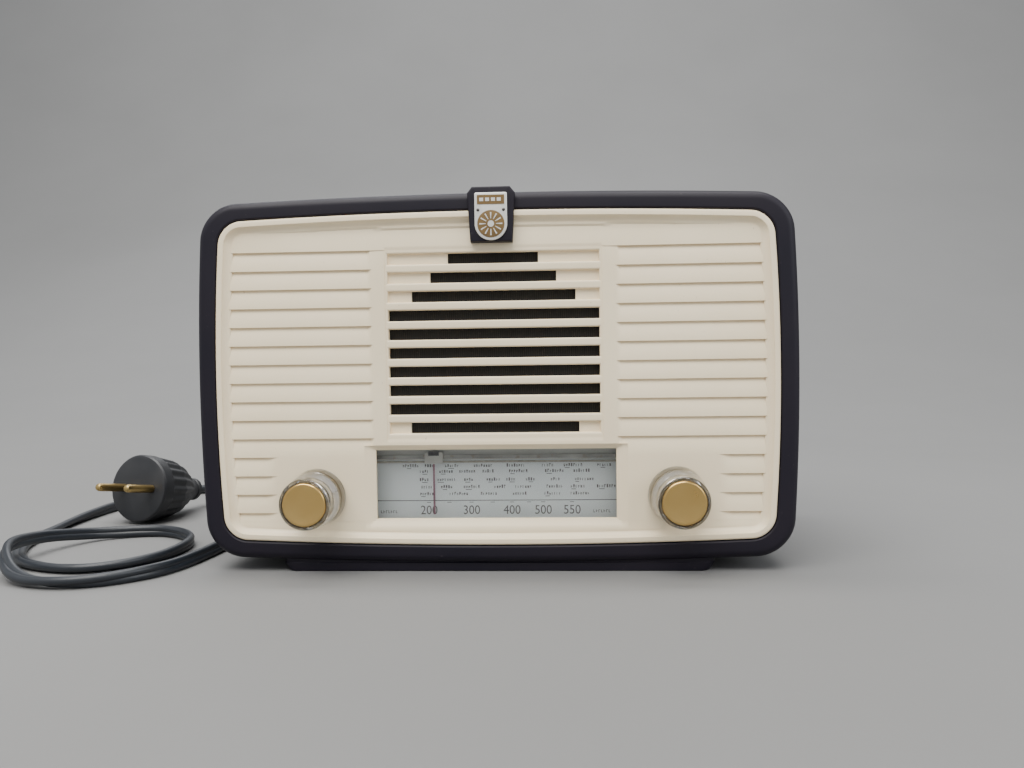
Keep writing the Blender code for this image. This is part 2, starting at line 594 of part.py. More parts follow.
def make_chassis(finish):
    """A folded steel tray, open below, with a foot at each end for the screws from below."""
    sheet = 0.0012
    low = 0.0135
    half = CHASSIS_HALF_WIDTH
    chassis = box("chassis", (-half, CHASSIS_FRONT_Y, low), (half, CHASSIS_BACK_Y, CHASSIS_DECK_Z), finish)
    foot = half - 0.014
    cut(chassis, box("chassis_hollow", (-half + sheet, CHASSIS_FRONT_Y + sheet, low + sheet),
                     (half - sheet, CHASSIS_BACK_Y - sheet, CHASSIS_DECK_Z - sheet), None))
    cut(chassis, box("chassis_opening", (-foot, CHASSIS_FRONT_Y + sheet, low - 0.01),
                     (foot, CHASSIS_BACK_Y - sheet, low + 0.01), None))
    for side, x, radius in (("left", -KNOB_X, 0.0048), ("right", KNOB_X, 0.0053)):
        start = (x, CHASSIS_FRONT_Y - 0.005, KNOB_Z)
        cut(chassis, rod(f"apron_drill_{side}", radius, start, 0.012, None))
    for side, x in (("left", -CHASSIS_SCREW_X), ("right", CHASSIS_SCREW_X)):
        cut(chassis, rod(f"foot_drill_{side}", 0.0019, (x, 0.010, low - 0.005), 0.012, None, UP_Z, 10))


def make_valve(name, x, y, height, glass, base):
    """A pressed glass envelope with a domed top and a pip, over a flat socket."""
    radius = 0.0105
    socket_z = CHASSIS_DECK_Z + GAP
    socket = [(0, 0), (0.0125, 0), (0.0125, 0.0030), (0.0112, 0.0050), (0, 0.0050)]
    turned(name.replace("valve", "socket"), socket, base, (x, y, socket_z), UP_Z, steps=14)
    angles = np.radians((90, 62, 36, 14))
    dome = [(radius * math.sin(a), height - 0.8 * radius * (1 - math.cos(a))) for a in angles]
    pip = [(0.0018, height + 0.0003), (0.0008, height + 0.003), (0, height + 0.0032)]
    profile = [(0, 0), (radius - 0.0008, 0), (radius, 0.0010), *dome, *pip]
    turned(name, profile, glass, (x, y, socket_z + 0.0053), UP_Z, steps=14)


def make_chassis_top(materials):
    for name, x, y, height in VALVES:
        make_valve(name, x, y, height, materials["glass"], materials["rubber"])
    z = CHASSIS_DECK_Z + GAP
    for name, x in (("if_can_input", 0.062), ("if_can_output", 0.008)):
        can = box(name, (x - 0.0115, 0.0205, z), (x + 0.0115, 0.0435, z + 0.052), materials["aluminium"])
        rounding = can.modifiers.new("rounding", "BEVEL")
        rounding.width = 0.002
        rounding.segments = 2
    can = [(0, 0), (0.0120, 0), (0.0120, 0.056), (0.0110, 0.058), (0, 0.058)]
    turned("smoothing_capacitor", can, materials["aluminium"], (-0.046, 0.032, z), UP_Z, steps=20)

    # Output transformer: a window core with its winding through it.
    low, high = (-0.085, -0.0325, z), (-0.055, -0.0185, z + 0.026)
    core = box("transformer_core", low, high, materials["steel"])
    cut(core, box("core_window", (-0.079, -0.04, z + 0.006), (-0.061, -0.01, z + 0.020), None))
    winding_end = (-0.0613, -0.0135, z + 0.0197)
    box("transformer_winding", (-0.0787, -0.0375, z + 0.0063), winding_end, materials["copper"])

    resistor = [(0.0025, 0), (0.0055, 0), (0.0055, 0.060), (0.0025, 0.060)]
    turned("dropper_resistor", resistor, materials["ceramic"], (0.052, 0.006, z), UP_Z, steps=14, closed=True)


# ---------------------------------------------------------------- back and fasteners
def make_back(materials):
    """A perforated board in the cabinet's rebate, with screws into the four bosses."""
    cover_y = BACK_Y - REBATE_DEPTH + GAP
    thickness = 0.0026
    inset = DRAFT + REBATE_WALL + GAP
    cover = lofted("back_cover", [cabinet_outline(inset, cover_y), cabinet_outline(inset, cover_y + thickness)],
                   materials["board"])
    before, after = cover_y - 0.01, cover_y + 0.01
    vents = [((0.048, before, 0.020), (0.076, after, 0.036))]  # reaches the aerial sockets
    for row_z in (0.128, 0.100, 0.062):
        for x in np.arange(-6, 7) * 0.0145:
            vents.append(((x - 0.002, before, row_z - 0.010), (x + 0.002, after, row_z + 0.010)))
    cut(cover, boxes("vent_cutter", vents, None))
    cut(cover, rod("gland_drill", 0.0058, (GLAND_X, before, GLAND_Z), 0.03, None))

    head_y = cover_y + thickness + GAP
    for x in (-BOSS_X, BOSS_X):
        for z in (BOSS_LOW_Z, BOSS_HIGH_Z):
            side = f"{'left' if x < 0 else 'right'}_{'low' if z < MIDDLE_Z else 'high'}"
            cut(cover, rod(f"cover_drill_{side}", 0.0021, (x, before, z), 0.03, None, steps=10))
            head = [(0.0032, 0), (0.0030, 0.0011), (0.0018, 0.0018), (0, 0.0020)]
            screw = [(0, -0.014), (0.0015, -0.014), (0.0015, 0), *head]
            turned(f"back_screw_{side}", screw, materials["steel"], (x, head_y, z), steps=12)

    for side, x in (("left", -CHASSIS_SCREW_X), ("right", CHASSIS_SCREW_X)):
        screw = [(0, 0), (0.0034, 0), (0.0034, 0.0018), (0.0016, 0.0018), (0.0016, 0.0140), (0, 0.0140)]
        turned(f"chassis_screw_{side}", screw, materials["steel"], (x, 0.010, 0.0040), UP_Z, steps=12)

    strip_y = CHASSIS_BACK_Y + GAP
    strip_end = (0.074, strip_y + 0.0030, 0.0345)
    strip = box("aerial_socket", (0.050, strip_y, 0.0215), strip_end, materials["board"])
    for side, x in (("left", 0.0565), ("right", 0.0675)):
        cut(strip, rod(f"aerial_drill_{side}", 0.0021, (x, strip_y - 0.005, 0.028), 0.02, None, steps=10))

    gland = [(0, 0), (0.0070, 0), (0.0070, 0.0018), (0.0052, 0.0018), (0.0052, 0.0050), (0.0070, 0.0050),
             (0.0070, 0.0066), (0.0060, 0.0074), (0.0038, 0.0268), (0, 0.0268)]
    turned("cord_gland", gland, materials["rubber"], (GLAND_X, GLAND_TIP_Y - 0.0268, GLAND_Z), steps=16)


# ---------------------------------------------------------------- mains cord and plug
PLUG_NOSE = Vector((-0.2080, 0.0400, 0.0203))  # middle of the plug's flat front face
PLUG_YAW = math.radians(-105)  # heading of the pins, anticlockwise from +X
PLUG_PITCH = math.radians(9.6)  # it rests on its flange and its waist
CABLE_ROUTE = (
    (-0.0720, 0.0843, 0.0190), (-0.0718, 0.1000, 0.0178), (-0.0660, 0.1210, 0.0095),
    (-0.0440, 0.1400, 0.0038), (-0.0130, 0.1400, 0.0032), (0.0090, 0.1240, 0.0032),
    (0.0100, 0.1010, 0.0032), (-0.0080, 0.0860, 0.0032), (-0.0420, 0.0830, 0.0032),
    (-0.0780, 0.0960, 0.0032), (-0.1080, 0.1220, 0.0032), (-0.1400, 0.1470, 0.0032),
    (-0.1800, 0.1560, 0.0032), (-0.2180, 0.1420, 0.0032), (-0.2390, 0.1070, 0.0032),
    (-0.2440, 0.0620, 0.0032), (-0.2420, 0.0180, 0.0032), (-0.2320, -0.0230, 0.0032),
    (-0.2100, -0.0530, 0.0032), (-0.1780, -0.0630, 0.0032), (-0.1540, -0.0440, 0.0032),
    (-0.1540, -0.0120, 0.0032), (-0.1770, 0.0080, 0.0032), (-0.2060, 0.0000, 0.0040),
    (-0.2190, -0.0270, 0.0080), (-0.2160, -0.0560, 0.0098), (-0.1960, -0.0800, 0.0050),
    (-0.1660, -0.0860, 0.0032), (-0.1420, -0.0680, 0.0032), (-0.1340, -0.0300, 0.0032),
    (-0.1340, 0.0140, 0.0032), (-0.1350, 0.0560, 0.0032), (-0.1355, 0.0900, 0.0032),
    (-0.1385, 0.1180, 0.0032), (-0.1510, 0.1370, 0.0032), (-0.1690, 0.1390, 0.0036),
    (-0.1835, 0.1250, 0.0060), (-0.1909, 0.1040, 0.0099), (-0.1962, 0.0841, 0.0127),
)


def smooth_route(points, count):
    """Evenly spaced points on a Catmull-Rom curve through the given ones."""
    p = np.array(points)
    p = np.vstack((2 * p[0] - p[1], p, 2 * p[-1] - p[-2]))
    t = np.linspace(0, 1, 24, endpoint=False)[:, None]
    fine = []
    for a, b, c, d in zip(p, p[1:], p[2:], p[3:]):
        squared, cubed = 2 * a - 5 * b + 4 * c - d, 3 * b - a - 3 * c + d
        fine.append(b + 0.5 * ((c - a) * t + squared * t**2 + cubed * t**3))
    fine = np.vstack((*fine, p[-2]))
    along = np.concatenate(([0], np.cumsum(np.linalg.norm(np.diff(fine, axis=0), axis=1))))
    even = np.linspace(0, along[-1], count)
    return np.column_stack([np.interp(even, along, fine[:, i]) for i in range(3)])


def make_cable(finish):
    points = smooth_route(CABLE_ROUTE, 78)
    curve = bpy.data.curves.new("mains_cord", "CURVE")
    curve.dimensions = "3D"
    curve.bevel_depth = CABLE_WIDTH / 2
    curve.bevel_resolution = 2
    curve.use_fill_caps = True
    spline = curve.splines.new("POLY")
    spline.points.add(len(points) - 1)
    spline.points.foreach_set("co", np.column_stack((points, np.ones(len(points)))).ravel())
    curve.materials.append(finish)
    bpy.context.collection.objects.link(bpy.data.objects.new("mains_cord", curve))


def make_plug(materials):
    """A round two-pin plug lying on its side; its own +X is the way the pins point."""
    along_x = Matrix.Rotation(math.pi / 2, 4, "Y")
    turn = Matrix.Rotation(PLUG_YAW, 4, "Z") @ Matrix.Rotation(-PLUG_PITCH, 4, "Y") @ along_x
    body = [(0, 0), (0.0180, 0), (0.0190, -0.0010), (0.0190, -0.0080), (0.0175, -0.0110), (0.0168, -0.0210),
            (0.0120, -0.0320), (0.0072, -0.0400), (0.0066, -0.0460), (0, -0.0460)]
    turned("plug_body", body, materials["bakelite"], PLUG_NOSE, turn, steps=20)
    for side, offset in (("left", 0.0095), ("right", -0.0095)):
        start = PLUG_NOSE + turn.to_3x3() @ Vector((0, offset, GAP))
        pin = [(0, 0), (0.0022, 0), (0.0022, 0.0165), (0.0014, 0.0187), (0, 0.0190)]
        turned(f"plug_pin_{side}", pin, materials["brass"], start, turn, steps=12)


# ---------------------------------------------------------------- everything
def make_radio():
    clear_scene()
    materials = make_materials()
    make_cabinet(materials["bakelite"])
    make_front_panel(materials["ivory"])
    make_badge(materials["steel"])
    make_dial(materials)
    make_dial_cord(materials["thread"])
    make_speaker(materials)
    make_tuning_capacitor(materials)
    make_controls(materials)
    make_chassis(materials["steel"])
    make_chassis_top(materials)
    make_back(materials)
    make_cable(materials["rubber"])
    make_plug(materials)


make_radio()
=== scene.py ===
"""Looks of the tabletop mains radio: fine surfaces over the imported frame, their finishes, a floor, lights and a camera.

Metres, +Z up, the front faces -Y. Each new surface is worked out as whole arrays: a grid of two parameters, or a
profile carried along a path.
"""

import math

import bmesh
import bpy
import numpy as np
from mathutils import Matrix


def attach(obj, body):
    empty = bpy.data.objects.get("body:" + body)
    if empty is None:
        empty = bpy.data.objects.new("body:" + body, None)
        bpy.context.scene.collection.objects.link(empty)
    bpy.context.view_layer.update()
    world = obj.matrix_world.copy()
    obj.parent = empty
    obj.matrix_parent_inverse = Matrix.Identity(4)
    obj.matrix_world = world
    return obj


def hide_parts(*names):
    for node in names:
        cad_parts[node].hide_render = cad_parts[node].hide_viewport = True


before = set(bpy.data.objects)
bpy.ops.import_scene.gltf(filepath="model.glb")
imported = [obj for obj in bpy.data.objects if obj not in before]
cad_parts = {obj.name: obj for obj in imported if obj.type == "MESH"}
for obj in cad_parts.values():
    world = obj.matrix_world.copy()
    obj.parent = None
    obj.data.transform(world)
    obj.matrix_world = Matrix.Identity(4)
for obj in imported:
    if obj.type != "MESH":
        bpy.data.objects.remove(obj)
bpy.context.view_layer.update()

# ---------------------------------------------------------------- dimensions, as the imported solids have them
GAP = 0.0003
CABINET_WIDTH, CABINET_HEIGHT, CABINET_CORNER = 0.2524, 0.1552, 0.015
PANEL_WIDTH, PANEL_HEIGHT, PANEL_CORNER = 0.2358, 0.1395, 0.0092
BARREL = 0.0027
WALL, REBATE_WALL, REBATE_DEPTH, DRAFT = 0.0032, 0.0017, 0.0038, 0.0012
FRONT_Y, BACK_Y, MIDDLE_Z = -0.0625, 0.0625, 0.0815
FIELD_Y, PANEL_BACK_Y, FLANGE_Y = FRONT_Y + 0.0019, FRONT_Y + 0.0051, FRONT_Y + 0.0058
PITCH, TOP_LINE_Z, GROOVE = 0.0079, 0.1358, 0.0013
GRILLE_X, SLOT_HEIGHT, SLOT_DROP, POCKET = 0.0455, 0.0045, 0.0016, 0.0020
OPEN_HALF = np.array([0.0190, 0.0265, 0.0345, 9, 9, 9, 9, 9, 9, 0.0355])
WINDOW_X, WINDOW_LOW, WINDOW_HIGH = 0.0508, 0.0221, 0.0516
FLARE_X, FLARE_LOW, FLARE_HIGH, FLARE_DEPTH = 0.0046, 0.0034, 0.0022, 0.0016
KNOB_X, KNOB_Z = 0.0754, 0.0322
FIELD_HALF_Z = 0.0600
UPPER_LINE_Z = 0.1449
LONG_SLAT_X, LONG_FADE = 0.0508, 0.0024
SHORT_SLAT_X, SHORT_FADE = 0.0925, 0.0060
PLINTH_HEIGHT = 0.0039
BADGE_Z, BADGE_RADIUS = 0.1450, 0.0067
SWEEP_Y, SWEEP_RADIUS = 0.45, 2.2
GLAND = (-0.072, 0.0572, 0.019)
PLUG_NOSE = (-0.2080, 0.0400, 0.0203)

ALONG_Y = Matrix.Rotation(-math.pi / 2, 4, "X")
ALONG_PLUG = (
    Matrix.Rotation(math.radians(-105), 4, "Z")
    @ Matrix.Rotation(math.radians(-9.6), 4, "Y")
    @ Matrix.Rotation(math.pi / 2, 4, "Y")
)


# ---------------------------------------------------------------- camera
def aim(thing, at, target, roll=0.0):
    """Turns a camera or lamp so that its -Z looks from at to target, rolled about that line."""
    way = np.subtract(target, at)
    way = way / np.linalg.norm(way)
    side = np.cross(way, (0, 0, 1))
    side /= np.linalg.norm(side)
    up = np.cross(side, way)
    turn = Matrix(np.stack([side, up, -way], axis=1).tolist()).to_4x4()
    thing.matrix_world = Matrix.Translation(at) @ turn @ Matrix.Rotation(roll, 4, "Z")


def make_camera():
    """A camera in front, a little above the dial, rolled slightly, with a wide lens."""
    lens = bpy.data.cameras.new("front_camera")
    lens.lens, lens.sensor_width, lens.clip_start = 28.1, 36, 0.01
    camera = bpy.data.objects.new("front_camera", lens)
    bpy.context.scene.collection.objects.link(camera)
    aim(camera, (0.0240, -0.3942, 0.0890), (0.0076, -0.0625, 0.0791), math.radians(-0.79))
    bpy.context.scene.camera = camera


# ---------------------------------------------------------------- surfaces
def grid_quads(rows, columns, rows_close=False, columns_close=False):
    """Point numbers of the four corners of every cell of a grid, wrapping round where it closes."""
    i, j = np.meshgrid(np.arange(rows - (not rows_close)), np.arange(columns - (not columns_close)), indexing="ij")
    i, j = i.ravel(), j.ravel()
    below, right = (i + 1) % rows, (j + 1) % columns
    return np.stack([i * columns + j, i * columns + right, below * columns + right, below * columns + j], axis=1)


def patch(grid, rows_close=False, columns_close=False):
    """A grid of points, rows by columns by 3, as (points, quads)."""
    return grid.reshape(-1, 3), grid_quads(*grid.shape[:2], rows_close, columns_close)


def together(patches):
    """Several (points, quads) as one, each one's point numbers moved on past those before it."""
    first = np.cumsum([0] + [len(points) for points, _ in patches[:-1]])
    return np.concatenate([points for points, _ in patches]), np.concatenate(
        [quads + start for (_, quads), start in zip(patches, first)]
    )


def loft(rings, capped=True):
    """Rings of equal length, joined in order. A cap gathers the end ring into its own middle point."""
    if capped:
        ends = [np.broadcast_to(ring.mean(axis=0), ring.shape)[None] for ring in (rings[0], rings[-1])]
        rings = np.concatenate([ends[0], rings, ends[1]])
    return patch(rings, rows_close=not capped, columns_close=True)


def link(name, mesh, finish, body, stands_for, sharp):
    """A mesh as a named object at the origin, given its finish and set to ride on body through that body's empty,
    or left loose when there is no body."""
    mesh.shade_smooth()
    mesh.set_sharp_from_angle(angle=math.radians(sharp))
    made = bpy.data.objects.new(name, mesh)
    bpy.context.scene.collection.objects.link(made)
    mesh.materials.append(finish)
    if body is None:
        return made
    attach(made, body)
    if stands_for:
        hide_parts(*stands_for)
    return made


def piece(name, patches, finish, body="set", stands_for=(), sharp=32):
    """Closed patches as one object: points in the same place become one, and every face is turned outwards."""
    points, quads = together(patches)
    mesh = bpy.data.meshes.new(name)
    mesh.from_pydata(points.tolist(), [], quads.tolist())
    bm = bmesh.new()
    bm.from_mesh(mesh)
    bmesh.ops.remove_doubles(bm, verts=bm.verts, dist=2e-7)
    bmesh.ops.recalc_face_normals(bm, faces=bm.faces)
    bm.to_mesh(mesh)
    bm.free()
    return link(name, mesh, finish, body, stands_for, sharp)


def rounded(half_x, half_z, radius, steps=14, straight=30):
    """Points round a rounded rectangle, anticlockwise: an even quarter arc at each corner, then an even run."""
    arcs = []
    for quarter in range(4):
        angle = (quarter + np.linspace(0, 1, steps)) * math.pi / 2
        sign_x, sign_z = ((1, 1), (-1, 1), (-1, -1), (1, -1))[quarter]
        centre = np.array([sign_x * (half_x - radius), sign_z * (half_z - radius)])
        arcs.append(centre + radius * np.stack([np.cos(angle), np.sin(angle)], axis=1))
    share = np.linspace(0, 1, straight + 2)[1:-1, None]
    runs = [arcs[q][-1] * (1 - share) + arcs[(q + 1) % 4][0] * share for q in range(4)]
    return np.concatenate([part for pair in zip(arcs, runs) for part in pair])


def barrel(width, height, corner, inset, y):
    """A rounded rectangle at depth y whose sides bulge: each point moves out by BARREL times its share of the half
    width or height, times one minus the square of its share along the other axis."""
    half = np.array([width / 2 - BARREL - inset, height / 2 - BARREL - inset])
    plain = rounded(*half, max(corner - inset, 0.001))
    share = plain / half
    bulged = plain + BARREL * share * (1 - share[:, ::-1] ** 2)
    return np.stack([bulged[:, 0], np.full(len(bulged), y), MIDDLE_Z + bulged[:, 1]], axis=1)


def cabinet(inset, y):
    """The cabinet outline at depth y, drawn in by inset."""
    return barrel(CABINET_WIDTH, CABINET_HEIGHT, CABINET_CORNER, inset, y)


def panel(inset, y):
    """The ivory front outline at depth y, drawn in by inset."""
    return barrel(PANEL_WIDTH, PANEL_HEIGHT, PANEL_CORNER, inset, y)


def placed(points, turn, at):
    """Points turned by a matrix and moved to at."""
    flat = points.reshape(-1, 3) @ np.array(turn)[:3, :3].T + np.array(at)
    return flat.reshape(points.shape)


def turned(profile, at, turn=ALONG_Y, steps=96, flutes=0, flute_depth=0.0, flute_rows=None):
    """A profile of (radius, distance along the axis) spun round that axis. Flutes are a cosine round the axis, taken
    off the radius of the rows named."""
    profile = np.asarray(profile, float)
    angle = np.linspace(0, 2 * math.pi, steps, endpoint=False)
    radius = np.repeat(profile[:, :1], steps, axis=1)
    if flutes:
        dip = flute_depth * (0.5 - 0.5 * np.cos(flutes * angle))
        radius[flute_rows] -= dip
    grid = np.stack([radius * np.cos(angle), radius * np.sin(angle), np.repeat(profile[:, 1:], steps, axis=1)], axis=2)
    closed = np.allclose(profile[0], profile[-1])
    return patch(placed(grid[:-1] if closed else grid, turn, at), rows_close=closed, columns_close=True)


def blocks(low, high):
    """Many small boxes from arrays of their lowest and highest corners."""
    low, high = np.atleast_2d(low), np.atleast_2d(high)
    pick = np.array([[0, 0, 0], [1, 0, 0], [1, 1, 0], [0, 1, 0], [0, 0, 1], [1, 0, 1], [1, 1, 1], [0, 1, 1]])
    points = np.where(pick[None] == 1, high[:, None], low[:, None]).reshape(-1, 3)
    faces = np.array([[0, 3, 2, 1], [4, 5, 6, 7], [0, 1, 5, 4], [1, 2, 6, 5], [2, 3, 7, 6], [3, 0, 4, 7]])
    return points, (faces[None] + 8 * np.arange(len(low))[:, None, None]).reshape(-1, 4)


def lozenge(outline_at, edge, front_y, back_y):
    """A flat plate along Y with a rounded front edge: outline_at(inset) gives its (x, z) outline, and the front ring
    is drawn in by a quarter circle of radius edge."""
    arc = np.linspace(0, math.pi / 2, 5)
    insets, depths = edge * (1 - np.cos(arc)), edge * (1 - np.sin(arc))
    rings = [(0.0, back_y)] + [(i, front_y + d) for i, d in zip(insets, depths)]
    flat = [np.insert(outline_at(i), 1, y, axis=1) for i, y in rings]
    return loft(np.stack(flat))


# ---------------------------------------------------------------- finishes
def node(tree, kind, inputs=None, **settings):
    """A shader node with its settings, and each input either linked to a socket or set to a value."""
    made = tree.nodes.new(kind)
    for key, value in settings.items():
        setattr(made, key, value)
    for key, value in (inputs or {}).items():
        if isinstance(value, bpy.types.NodeSocket):
            tree.links.new(value, made.inputs[key])
        else:
            made.inputs[key].default_value = value
    return made


def blend(tree, share, first, second, how="MIX"):
    """Two colours mixed by share. A colour may be a socket."""
    made = node(tree, "ShaderNodeMix", data_type="RGBA", blend_type=how)
    for index, value in ((0, share), (6, first), (7, second)):
        if isinstance(value, bpy.types.NodeSocket):
            tree.links.new(value, made.inputs[index])
        elif index == 0:
            made.inputs[0].default_value = value
        else:
            made.inputs[index].default_value = (*value, 1)
    return made.outputs[2]


def clouds(tree, place, size, detail=4.0, stretch=(1, 1, 1), rough=0.55):
    """Soft noise whose patches are about size metres across, stretched along an axis where that is under one."""
    spread = node(tree, "ShaderNodeMapping", {"Vector": place, "Scale": stretch})
    return node(
        tree,
        "ShaderNodeTexNoise",
        {"Vector": spread.outputs[0], "Scale": 1 / size, "Detail": detail, "Roughness": rough},
    ).outputs["Fac"]


def ranged(tree, value, low, high, from_low=0.3, from_high=0.7):
    """A value carried in proportion from one range to another."""
    inputs = {"Value": value, "From Min": from_low, "From Max": from_high, "To Min": low, "To Max": high}
    return node(tree, "ShaderNodeMapRange", inputs).outputs[0]


def finish(name, colour, second, rough, patches=0.03, grain=0.0006, depth=0.00002, stretch=(1, 1, 1), **sockets):
    """A finish whose colour drifts between two over wide patches, with roughness drifting the other way and a fine
    grain of bump. Sockets that are the same all over are set on the shader."""
    made = bpy.data.materials.new(name)
    made.use_nodes = True
    tree = made.node_tree
    shader = tree.nodes["Principled BSDF"]
    for key, value in sockets.items():
        shader.inputs[key.replace("_", " ")].default_value = value
    place = node(tree, "ShaderNodeTexCoord").outputs["Object"]
    wide = clouds(tree, place, patches, 5, stretch)
    tree.links.new(blend(tree, ranged(tree, wide, 0, 1), colour, second), shader.inputs["Base Color"])
    tree.links.new(ranged(tree, wide, rough[0], rough[1], 0.25, 0.75), shader.inputs["Roughness"])
    fine = clouds(tree, place, grain, 3, stretch)
    bump = node(tree, "ShaderNodeBump", {"Height": fine, "Distance": depth, "Strength": 1.0})
    tree.links.new(bump.outputs[0], shader.inputs["Normal"])
    return made


def specks(made, colour, size, density, strength=0.6):
    """Small specks of another colour over a finish, where fine noise is high."""
    tree = made.node_tree
    shader = tree.nodes["Principled BSDF"]
    place = node(tree, "ShaderNodeTexCoord").outputs["Object"]
    share = ranged(tree, clouds(tree, place, size, 2), 0, strength, density, density + 0.06)
    before = shader.inputs["Base Color"].links[0].from_socket
    tree.links.new(blend(tree, share, before, colour), shader.inputs["Base Color"])
    return made


def stripes(made, colour, spacing, axis, depth, strength=0.7):
    """Even bands across one axis, as the turns of a winding or the lines of a weave, in colour and in bump."""
    tree = made.node_tree
    shader = tree.nodes["Principled BSDF"]
    place = node(tree, "ShaderNodeTexCoord").outputs["Object"]
    wave = node(
        tree,
        "ShaderNodeTexWave",
        {"Vector": place, "Scale": 0.31416 / spacing, "Distortion": 0.0, "Detail": 1.0},
        bands_direction=axis,
        wave_profile="SIN",
    ).outputs["Fac"]
    before = shader.inputs["Base Color"].links[0].from_socket
    tree.links.new(blend(tree, ranged(tree, wave, strength, 0, 0.1, 0.6), before, colour), shader.inputs["Base Color"])
    under = shader.inputs["Normal"].links[0].from_socket
    bump = node(tree, "ShaderNodeBump", {"Height": wave, "Distance": depth, "Normal": under})
    tree.links.new(bump.outputs[0], shader.inputs["Normal"])
    return made


def spun(made, centre, depth):
    """Fine rings round a point of the front, as a lathe leaves them, in bump."""
    tree = made.node_tree
    shader = tree.nodes["Principled BSDF"]
    place = node(tree, "ShaderNodeTexCoord").outputs["Object"]
    moved = node(tree, "ShaderNodeMapping", {"Vector": place, "Location": (-centre[0], 0, -centre[1])})
    flat = node(tree, "ShaderNodeVectorMath", {0: moved.outputs[0], 1: (1, 0, 1)}, operation="MULTIPLY")
    far = node(tree, "ShaderNodeVectorMath", {0: flat.outputs[0]}, operation="LENGTH").outputs["Value"]
    rings = node(tree, "ShaderNodeMath", {0: far, 1: 9000.0}, operation="MULTIPLY").outputs[0]
    wavy = node(tree, "ShaderNodeMath", {0: rings}, operation="SINE").outputs[0]
    bump = node(tree, "ShaderNodeBump", {"Height": wavy, "Distance": depth, "Strength": 0.6})
    tree.links.new(bump.outputs[0], shader.inputs["Normal"])
    return made


